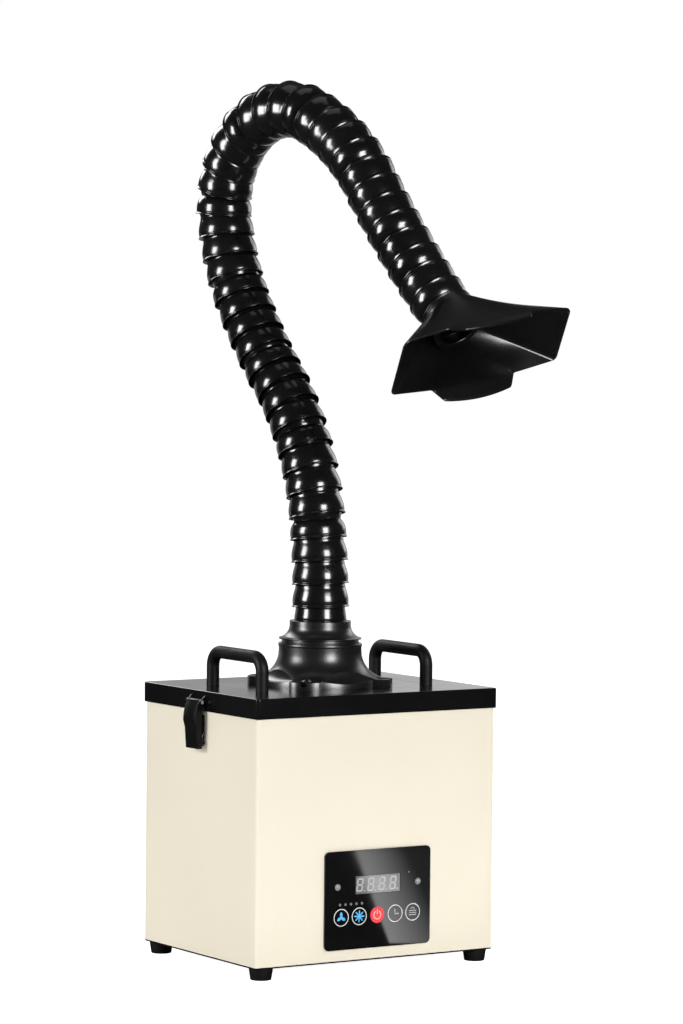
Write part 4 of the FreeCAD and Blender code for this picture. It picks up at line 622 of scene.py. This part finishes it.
def hood_rulings():
    """Matching points of the hood's round neck and eight-sided mouth, once round: a quarter, mirrored."""
    way = (HOOD_END - HOOD_ROOT) / np.linalg.norm(HOOD_END - HOOD_ROOT)
    up = np.array([0.0, 1.0])
    half = math.acos(-way[1]) / 2
    start, stop = HOOD_END - way * HOOD_CORNER / math.tan(half), HOOD_END + up * HOOD_CORNER / math.tan(half)
    inward = (up - way) / np.linalg.norm(up - way)
    crown = HOOD_END + inward * (HOOD_CORNER / math.sin(half) - HOOD_CORNER)
    x = np.concatenate([np.linspace(0, 34, 12), np.linspace(35, HOOD_ROOT[0], 25)])
    middle = np.stack([x, np.full_like(x, HOOD_ROOT[1])], 1)
    share = np.linspace(0, 1, 20)[1:-1]
    slant = HOOD_ROOT + (start - HOOD_ROOT) * share[:, None]
    rise = np.linspace(0, 1, 12)[1:]
    side = stop * np.stack([np.ones_like(rise), 1 - rise], 1)
    mouth = np.concatenate([middle, slant, arc_points(start, crown, stop, 9), side])
    run = np.concatenate([x - HOOD_ROOT[0], np.linalg.norm(slant - HOOD_ROOT, axis=1)])
    t = np.clip((run + HOOD_FOLD) / (2 * HOOD_FOLD), 0, 1)[:, None]
    level = np.array([1.0, 0.0])
    fold = HOOD_ROOT + HOOD_FOLD * (t ** 2 * way - (1 - t) ** 2 * level)
    mouth[:len(run)] = np.where(np.abs(run)[:, None] < HOOD_FOLD, fold, mouth[:len(run)])
    turn = np.radians(np.concatenate([
        -90 + (ROOT_TURN + 90) * x / HOOD_ROOT[0], ROOT_TURN + (START_TURN - ROOT_TURN) * share,
        np.linspace(START_TURN, STOP_TURN, 9), STOP_TURN - STOP_TURN * rise]))
    quarter = np.concatenate([HOOD_NECK * np.stack([np.cos(turn), np.sin(turn)], 1), mouth], 1)
    mirrored = quarter[::-1] * np.array([1.0, -1.0, 1.0, -1.0])
    right = np.concatenate([quarter[:-1], mirrored[:-1]])
    both = np.concatenate([right, -right])
    return both[:, :2], both[:, 2:]


def lower(a, b, blend):
    """The lower of two curves, with the corner between them drawn round over a blend."""
    share = np.clip(0.5 + (b - a) / (2 * blend), 0, 1)
    return a * share + b * (1 - share) - blend * share * (1 - share)


def hood_sheet(neck, mouth):
    """The hood's outer face: straight rulings from neck to mouth, those of the long panels drawn out to lobes."""
    across, side = np.abs(mouth[:, 0]), np.sign(mouth[:, 1])
    length = math.hypot(LOBE_REACH, LOBE_RISE)
    front = length + LOBE_BOW * (1 - (across / LOBE_TIP) ** 2)
    edge = length * (HOOD_ROOT[0] - across) / (HOOD_ROOT[0] - LOBE_TIP)
    out = -lower(-lower(front, edge, LOBE_CORNER), np.zeros_like(edge), LOBE_FOOT)
    lean = np.stack([np.zeros_like(side), side * LOBE_RISE, np.full_like(side, LOBE_REACH)], 1) / length
    start = np.concatenate([neck, np.full((len(neck), 1), HOOD_START)], 1)
    stop = np.concatenate([mouth, np.full((len(mouth), 1), HOOD_DEPTH)], 1)
    last = 1 - LOBE_SETBACK * (1 - np.clip(out / 5, 0, 1))
    share = np.linspace(0, 1, 24)[:, None, None] * last[:, None]
    horn = start + (stop - start) * share
    tip = stop + lean * out[:, None]
    return np.concatenate([horn, horn[-1] + (tip - horn[-1]) * np.linspace(0, 1, 8)[1:, None, None]])


def hood_inside(inner, count=22):
    """The inner face's rows from the mouth down to where the face meets the cup's outer radius."""
    radius = np.hypot(inner[..., 0], inner[..., 1])
    columns = np.arange(inner.shape[1])
    above = (radius < CUP_RADIUS).sum(0)
    low, high = radius[above - 1, columns], radius[above, columns]
    first = above - 1 + (CUP_RADIUS - low) / (high - low)
    at = first + (len(inner) - 1 - first) * np.linspace(1, 0, count)[:, None]
    below = np.minimum(at.astype(int), len(inner) - 2)
    part = (at - below)[..., None]
    return inner[below, columns] * (1 - part) + inner[below + 1, columns] * part


class EXTRACTOR_OT_hood(bpy.types.Operator):
    """Builds the hood as one closed sheet: socket cup, flared horn, lobed mouth, inner face"""
    bl_idname = "extractor.hood"
    bl_label = "Hood"

    def execute(self, context):
        outer = hood_sheet(*hood_rulings())
        across = np.roll(outer, -1, 1) - np.roll(outer, 1, 1)
        along = np.gradient(outer, axis=0)
        normal = np.cross(across, along)
        normal /= np.linalg.norm(normal, axis=2, keepdims=True)
        inner = outer - HOOD_WALL * normal
        ahead = along[-1] / np.linalg.norm(along[-1], axis=1, keepdims=True)
        a = np.linspace(0, math.pi, 7)[1:-1, None, None]
        rim = (outer[-1] + inner[-1]) / 2 + HOOD_WALL / 2 * np.cos(a) * normal[-1] + HOOD_LIP * np.sin(a) * ahead
        inside = hood_inside(inner)
        angle = np.arctan2(inside[-1, :, 1], inside[-1, :, 0])
        cup = bent([(CUP_RADIUS, 12.5), (CUP_RADIUS, CUP_TOP), (BORE, CUP_TOP), (BORE, 13.4)], 0.6)
        cup = turned(cup, angle)
        socket = turned(sphere_points(SOCKET, 0.0, -2.6, 12.9, 9)[::-1], angle)
        foot = turned(np.concatenate([lip_profile(), [(CUP_RADIUS, HOOD_START - 0.1)]]), angle)
        rows = np.concatenate([foot, outer, rim, inside, cup, socket])
        points = placed(rows.reshape(-1, 3), len(CENTRES) - 1, HOOD_ROLL, HOOD_TILT)
        faces = grid_faces(*rows.shape[:2], True, True)
        piece = make_piece("hood_horn", points, faces, "black hood satin", "hood_end", "arm_black", 28.0)
        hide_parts("hood")
        return {"FINISHED"}


# Handles and feet


class EXTRACTOR_OT_handles(bpy.types.Operator):
    """Bends the two rod handles"""
    bl_idname = "extractor.handles"
    bl_label = "Handles"

    def execute(self, context):
        crest = LID_TOP + HANDLE_RISE - HANDLE_RADIUS
        turn = np.linspace(math.pi, math.pi / 2, 14)
        corner = np.stack([np.cos(turn), np.sin(turn)], 1) * HANDLE_BEND
        left = corner + np.array([HANDLE_BEND - HANDLE_REACH, crest - HANDLE_BEND])
        leg = np.stack([np.full(6, -HANDLE_REACH), np.linspace(LID_TOP, crest - HANDLE_BEND - 1.0, 6)], 1)
        half = np.concatenate([leg, left, [(-HANDLE_FLAT, crest)]])
        whole = np.concatenate([half, half[::-1] * np.array([-1.0, 1.0])])
        for name, place in (("handle_left", -HANDLE_PLACE), ("handle_right", HANDLE_PLACE)):
            path = np.concatenate([np.full((len(whole), 1), place), whole], 1)
            points, faces = swept_rod(path, HANDLE_RADIUS, 40)
            piece = make_piece(name + "_bar", points, faces, "soft black handle", "lid", "handle_black")
            weld_piece(piece)
            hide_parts(name)
        return {"FINISHED"}


class EXTRACTOR_OT_feet(bpy.types.Operator):
    """Turns the four rubber feet"""
    bl_idname = "extractor.feet"
    bl_label = "Feet"

    def execute(self, context):
        profile = bent([(5.5, 3.0), (5.5, 0.0), (9.9, 0.0), (11.7, 11.5), (2.6, 11.5), (2.6, 6.0), (5.5, 6.0),
                        (5.5, 4.0)], 0.8, 5)
        points, faces = turned_shell(profile, 64)
        spots = [(points + np.array([FOOT_X * i, FOOT_Y * j, 0.0]), faces) for i in (-1, 1) for j in (-1, 1)]
        piece = make_piece("feet_turned", *joined(*spots), "foot rubber", "cabinet", "rubber_black")
        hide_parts("rubber_feet")
        return {"FINISHED"}


# Panel


def on_fascia(flat, lift=0.0):
    """Flat (x, z) points set on the fascia's face."""
    depth = FASCIA_FACE - looks().print_height / MM - lift
    return np.stack([flat[..., 0], np.full(flat.shape[:-1], depth), flat[..., 1]], -1)


def blob(x, z, radius, columns=48, rows=4):
    """A flat shape (x + w r cos a, z + w r sin a), w up to 1: radius r is a number or a function of the angle."""
    a = full_turn(columns)
    reach = radius(a) if callable(radius) else np.full(columns, float(radius))
    w = np.linspace(0.02, 1, rows)[:, None]
    flat = np.stack([x + w * reach * np.cos(a), z + w * reach * np.sin(a)], -1)
    return flat.reshape(-1, 2), grid_faces(rows, columns, False, True)


def band(x, z, inner, outer, start=0.0, sweep=2 * math.pi, columns=64):
    """A flat ring (x + r cos a, z + r sin a), or an arc of one, between two radii."""
    a = np.linspace(start, start + sweep, columns)
    w = np.array([inner, outer])[:, None]
    flat = np.stack([x + w * np.cos(a), z + w * np.sin(a)], -1)
    return flat.reshape(-1, 2), grid_faces(2, columns, False, False)


def bar(x, z, length, width, turn=0.0):
    """A flat bar about its centre, at a turn from level."""
    ends = np.array([[-length, -width], [length, -width], [length, width], [-length, width]]) / 2
    c, n = math.cos(turn), math.sin(turn)
    return ends @ np.array([[c, n], [-n, c]]) + np.array([x, z]), np.array([[0, 1, 2, 3]])


def printed(name, finish, shapes, lift=0.0):
    """Flat shapes as one thin print on the fascia, facing the front."""
    flat, faces = joined(*shapes)
    points = on_fascia(flat, lift)
    ring = points[faces]
    facing = np.cross(ring[:, 1] - ring[:, 0], ring[:, 2] - ring[:, 0])[:, 1]
    faces = np.where((facing > 0)[:, None], faces[:, ::-1], faces)
    add_piece(name, points, faces, finish, "cabinet")


def digit_bars(x, z):
    """The seven slanted bars and the point of one digit."""
    width, height, stroke, lean, inset = 7.2, 13.0, 1.6, 0.12, 0.75
    levels = (-height / 2 + inset, 0.0, height / 2 - inset)
    shapes = [bar(x + lean * dz, z + dz, width - 1.9, stroke) for dz in levels]
    for i in (-1, 1):
        for j in (-1, 1):
            dz = j * height / 4
            shapes.append(bar(x + i * (width / 2 - inset) + lean * dz, z + dz, height / 2 - 2 * inset, stroke,
                              math.pi / 2 - lean))
    return shapes + [blob(x + width / 2 + 1.4, z - height / 2 + 0.7, inset, 20, 2)]


class EXTRACTOR_OT_panel(bpy.types.Operator):
    """Prints the keys and lamps on the fascia and the unlit digits in the display"""
    bl_idname = "extractor.panel"
    bl_label = "Panel"

    def execute(self, context):
        z, outer = KEY_LEVEL, looks().key_radius / MM
        fan, fast_fan, power, clock, filters = KEY_PLACES
        printed("key_rings", "print white",
                [band(x, z, outer - 0.75, outer) for x in KEY_PLACES if x != power])
        three = blob(fan, z, lambda a: 1.4 + 3.7 * (0.5 + 0.5 * np.cos(3 * (a - math.pi / 2))) ** 1.2, 96)
        eight = blob(fast_fan, z, lambda a: 1.2 + 4.8 * (0.5 + 0.5 * np.cos(8 * a + 0.4)) ** 0.9, 144)
        printed("key_fans", "print blue", [three, eight])
        printed("key_power_disc", "print red", [blob(power, z, outer - 0.5, 64, 5)])
        printed("key_power_mark", "print rose",
                [band(power, z, 3.4, 4.5, math.radians(118), math.radians(304), 48), bar(power, z + 2.9, 1.1, 4.6)],
                0.05)
        lines = [bar(filters, z + dz, 8.4, 0.9) for dz in (-2.6, -0.6, 1.4)]
        lines += [bar(filters + dx, z + 4.0, 2.6, 0.8, turn) for dx, turn in ((-1.1, 0.6), (1.1, -0.6))]
        printed("key_marks", "print pale",
                [bar(clock - 0.4, z + 2.0, 1.1, 5.0), bar(clock + 1.6, z - 0.4, 5.0, 1.1)] + lines)
        printed("lamp_dots", "dot grey",
                [blob(LAMP_START + LAMP_STEP * k, LAMP_LEVEL, 1.35, 24, 3) for k in range(5)])
        printed("pin_lens", "dot grey", [blob(*PIN_LENS, 0.9, 20, 2)])
        digits = []
        for k in range(4):
            digits += digit_bars(DIGIT_START + DIGIT_STEP * k, DIGIT_LEVEL)
        printed("display_digits", "digit grey", digits, -0.3)
        return {"FINISHED"}


# Filter pad

PAD_POWER = 0.14
PAD_SHARES = np.array([0.02, 0.5, 0.97, 0.995, 1.0, 0.995, 0.97, 0.9, 0.7, 0.45, 0.2, 0.02])
PAD_RISES = np.array([-1.0, -1.0, -1.0, -0.85, 0.0, 0.8, 0.93, 0.96, 0.98, 0.99, 1.0, 1.0])


class EXTRACTOR_OT_filter_top(bpy.types.Operator):
    """Makes the prefilter's soft pad from rings x = s w sgn(cos a) |cos a|^p, y = s d sgn(sin a) |sin a|^p"""
    bl_idname = "extractor.filter_top"
    bl_label = "Filter pad"

    def execute(self, context):
        low, high = (np.array(corner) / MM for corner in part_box("prefilter_pad"))
        middle, half = (low + high) / 2, (high - low) / 2
        a = full_turn(160)
        ring = np.stack([np.cos(a), np.sin(a)], -1)
        flat = np.sign(ring) * np.abs(ring) ** PAD_POWER * half[:2]
        rises = np.broadcast_to((PAD_RISES * half[2])[:, None, None], (len(PAD_RISES), len(a), 1))
        points = np.concatenate([flat[None] * PAD_SHARES[:, None, None], rises], -1)
        points = points.reshape(-1, 3) + middle
        faces = grid_faces(len(PAD_RISES), len(a), False, True)
        piece = make_piece("prefilter_fleece", points, faces, "filter fleece", "cabinet", "filter_white", 60.0)
        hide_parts("prefilter_pad")
        return {"FINISHED"}


# Stage

MIDDLE, SOFT, GLOSS, BOTH = (0, 0, 0.4), (True, False), (False, True), (True, True)
LIGHTS = (
    ("front softbox", (-0.05, -2.4, 0.95), MIDDLE, (0.75, 0.95), 34, SOFT),
    ("side softbox", (-2.3, 0.47, 0.95), MIDDLE, (0.7, 0.95), 32.5, SOFT),
    ("front panel", (-0.05, -2.3, 0.93), MIDDLE, (0.85, 1.1), 86, GLOSS),
    ("side panel", (-2.2, 0.45, 0.93), MIDDLE, (0.75, 1.1), 74, GLOSS),
    ("right fill", (2.6, 0.7, 1.3), (0, 0, 0.35), (1.2, 1.4), 12, BOTH),
    ("right wash", (2.4, -0.4, 0.8), (0, 0, 0.3), (1.2, 1.2), 16, SOFT),
    ("back fill", (0.0, 2.6, 1.9), (0, 0, 0.35), (1.2, 1.2), 30, BOTH),
    ("floor bounce", (0, -0.3, 0.01), (0, -0.108, 0.06), (0.6, 0.2), 0.32, SOFT),
    ("left bounce", (-0.33, 0, 0.01), (-0.135, 0, 0.06), (0.5, 0.2), 0.12, SOFT),
    ("top fill", (0.1, 0.3, 2.8), (0, 0, 0.3), (1.4, 1.4), 4, BOTH),
    ("back card", (0.76, 0.45, 0.55), (0.22, -0.39, 0.49), (0.9, 0.66), 1.5, GLOSS),
    ("dim back card", (0.0, 0.94, 0.42), (-0.54, 0.1, 0.36), (0.9, 0.4), 0.57, GLOSS),
)
CARD_EDGE, CARD_ALONG, CARD_OUT = np.array([0.021, -0.102]), np.array([0.499, -0.867]), np.array([0.867, 0.499])
CARD_START, CARD_END, CARD_WIDTH, CARD_LEVEL = 0.16, 0.9, 0.12, 0.002
CARD_FADE, CARD_BRIGHT, CARD_DIM = 0.058, 5.0, 0.3
FOCAL_PIXELS, PHOTO_ROWS, SENSOR = 4002.0, 1024.0, 36.0
CAMERA_PLACE = (-2.08015, -3.29722, 0.61344)
CAMERA_RIGHT, CAMERA_UP = (0.843259, -0.537419, 0.009757), (0.016231, 0.043604, 0.998917)
CAMERA_BACK = (-0.537262, -0.842188, 0.045493)


def add_light(name, place, target, size, power, gives):
    """A soft area light that looks at a point; gives says whether it lights softly and whether it is mirrored."""
    lamp = bpy.data.lights.new(name, "AREA")
    lamp.shape = "RECTANGLE"
    lamp.size, lamp.size_y = size
    lamp.energy = power
    item = bpy.data.objects.new(name, lamp)
    bpy.context.scene.collection.objects.link(item)
    item.location = place
    way = Vector(target) - Vector(place)
    item.rotation_euler = way.to_track_quat("-Z", "Y").to_euler()
    item.visible_camera = False
    item.visible_diffuse, item.visible_glossy = gives


def by_ray(tree, seen, lit, mirrored, socket):
    """Gives a strength socket one value straight from the camera, one for soft light and one in reflections."""
    path = tree.nodes.new("ShaderNodeLightPath")
    value = lit
    for ray, strength in (("Is Camera Ray", seen), ("Is Glossy Ray", mirrored)):
        node = tree.nodes.new("ShaderNodeMath")
        node.operation = "MULTIPLY_ADD"
        node.inputs[1].default_value = strength - lit
        tree.links.new(path.outputs[ray], node.inputs[0])
        if isinstance(value, bpy.types.NodeSocket):
            tree.links.new(value, node.inputs[2])
        else:
            node.inputs[2].default_value = value
        value = node.outputs["Value"]
    tree.links.new(value, socket)


def add_floor_card():
    """A pale card on the floor that shows only in the fascia, brightest along the edge that crosses it."""
    spans = ((CARD_START, 0), (CARD_END, 0), (CARD_END, CARD_WIDTH), (CARD_START, CARD_WIDTH))
    corners = [CARD_EDGE + a * CARD_ALONG + b * CARD_OUT for a, b in spans]
    mesh = bpy.data.meshes.new("floor card")
    mesh.from_pydata([(*corner, CARD_LEVEL) for corner in corners], [], [(0, 1, 2, 3)])
    finish = bpy.data.materials.new("floor card")
    finish.use_nodes = True
    tree = finish.node_tree
    shader = tree.nodes["Principled BSDF"]
    shader.inputs["Base Color"].default_value = (0, 0, 0, 1)
    shader.inputs["Specular IOR Level"].default_value = 0.0
    shader.inputs["Emission Color"].default_value = (1, 1, 1, 1)
    reach = tree.nodes.new("ShaderNodeVectorMath")
    reach.operation = "DOT_PRODUCT"
    reach.inputs[1].default_value = (*CARD_OUT, 0)
    tree.links.new(tree.nodes.new("ShaderNodeTexCoord").outputs["Object"], reach.inputs[0])
    near = float(CARD_EDGE @ CARD_OUT)
    glow = remap(tree, reach.outputs["Value"], near, near + CARD_FADE, CARD_BRIGHT, CARD_DIM)
    tree.links.new(glow, shader.inputs["Emission Strength"])
    mesh.materials.append(finish)
    card = bpy.data.objects.new("floor card", mesh)
    bpy.context.scene.collection.objects.link(card)
    card.visible_camera = card.visible_diffuse = card.visible_shadow = False


class EXTRACTOR_OT_stage(bpy.types.Operator):
    """Sets the pale floor, the soft lights and the camera at the photograph's angle"""
    bl_idname = "extractor.stage"
    bl_label = "Stage"

    def execute(self, context):
        scene = context.scene
        mesh = bpy.data.meshes.new("floor")
        mesh.from_pydata([(-9, -9, 0), (9, -9, 0), (9, 9, 0), (-9, 9, 0)], [], [(0, 1, 2, 3)])
        finish = make_finish("studio floor", grey(0.76), grey(0.8), (0.7, 0.8), (40.0, 0.02, 0.0005), 0.5,
                             specular=0.0)
        tree = finish.node_tree
        shader = tree.nodes["Principled BSDF"]
        by_ray(tree, 1.0, 0.0, 0.0, shader.inputs["Emission Strength"])
        glossy = tree.nodes.new("ShaderNodeLightPath").outputs["Is Glossy Ray"]
        tone = blend_colours(tree, glossy, shader.inputs["Base Color"].links[0].from_socket, grey(0.08))
        tree.links.new(tone, shader.inputs["Base Color"])
        mesh.materials.append(finish)
        floor = bpy.data.objects.new("floor", mesh)
        scene.collection.objects.link(floor)

        world = bpy.data.worlds.new("studio")
        world.use_nodes = True
        background = world.node_tree.nodes["Background"]
        background.inputs["Color"].default_value = (1, 1, 1, 1)
        by_ray(world.node_tree, 1.0, 0.15, 0.06, background.inputs["Strength"])
        scene.world = world
        scene.view_settings.view_transform = "Standard"
        for light in LIGHTS:
            add_light(*light)
        add_floor_card()

        lens = bpy.data.cameras.new("camera")
        lens.sensor_fit = "VERTICAL"
        lens.sensor_height = SENSOR
        lens.lens = FOCAL_PIXELS / PHOTO_ROWS * SENSOR
        lens.clip_end = 60.0
        camera = bpy.data.objects.new("camera", lens)
        scene.collection.objects.link(camera)
        rows = zip(CAMERA_RIGHT, CAMERA_UP, CAMERA_BACK, CAMERA_PLACE)
        camera.matrix_world = Matrix([*rows, (0, 0, 0, 1)])
        scene.camera = camera
        return {"FINISHED"}


class EXTRACTOR_PT_sidebar(bpy.types.Panel):
    """Lists the extractor's settings and pieces"""
    bl_idname = "EXTRACTOR_PT_sidebar"
    bl_label = "Fume extractor"
    bl_space_type = "VIEW_3D"
    bl_region_type = "UI"
    bl_category = "Extractor"

    def draw(self, context):
        for name in ExtractorFinishes.__annotations__:
            self.layout.prop(context.scene.extractor_finishes, name)
        for operator in OPERATORS:
            self.layout.operator(operator.bl_idname)


OPERATORS = (EXTRACTOR_OT_finishes, EXTRACTOR_OT_arm, EXTRACTOR_OT_collar, EXTRACTOR_OT_flange, EXTRACTOR_OT_hood,
             EXTRACTOR_OT_handles, EXTRACTOR_OT_feet, EXTRACTOR_OT_panel, EXTRACTOR_OT_filter_top,
             EXTRACTOR_OT_stage)
CLASSES = (ExtractorFinishes, *OPERATORS, EXTRACTOR_PT_sidebar)


def register():
    """Registers the classes and the scene's settings."""
    for item in CLASSES:
        bpy.utils.register_class(item)
    bpy.types.Scene.extractor_finishes = bpy.props.PointerProperty(type=ExtractorFinishes)


def unregister():
    """Takes the settings and the classes out again."""
    del bpy.types.Scene.extractor_finishes
    for item in reversed(CLASSES):
        bpy.utils.unregister_class(item)


def main():
    """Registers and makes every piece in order."""
    register()
    for operator in OPERATORS:
        group, name = operator.bl_idname.split(".")
        getattr(getattr(bpy.ops, group), name)()


if __name__ == "__main__":
    main()
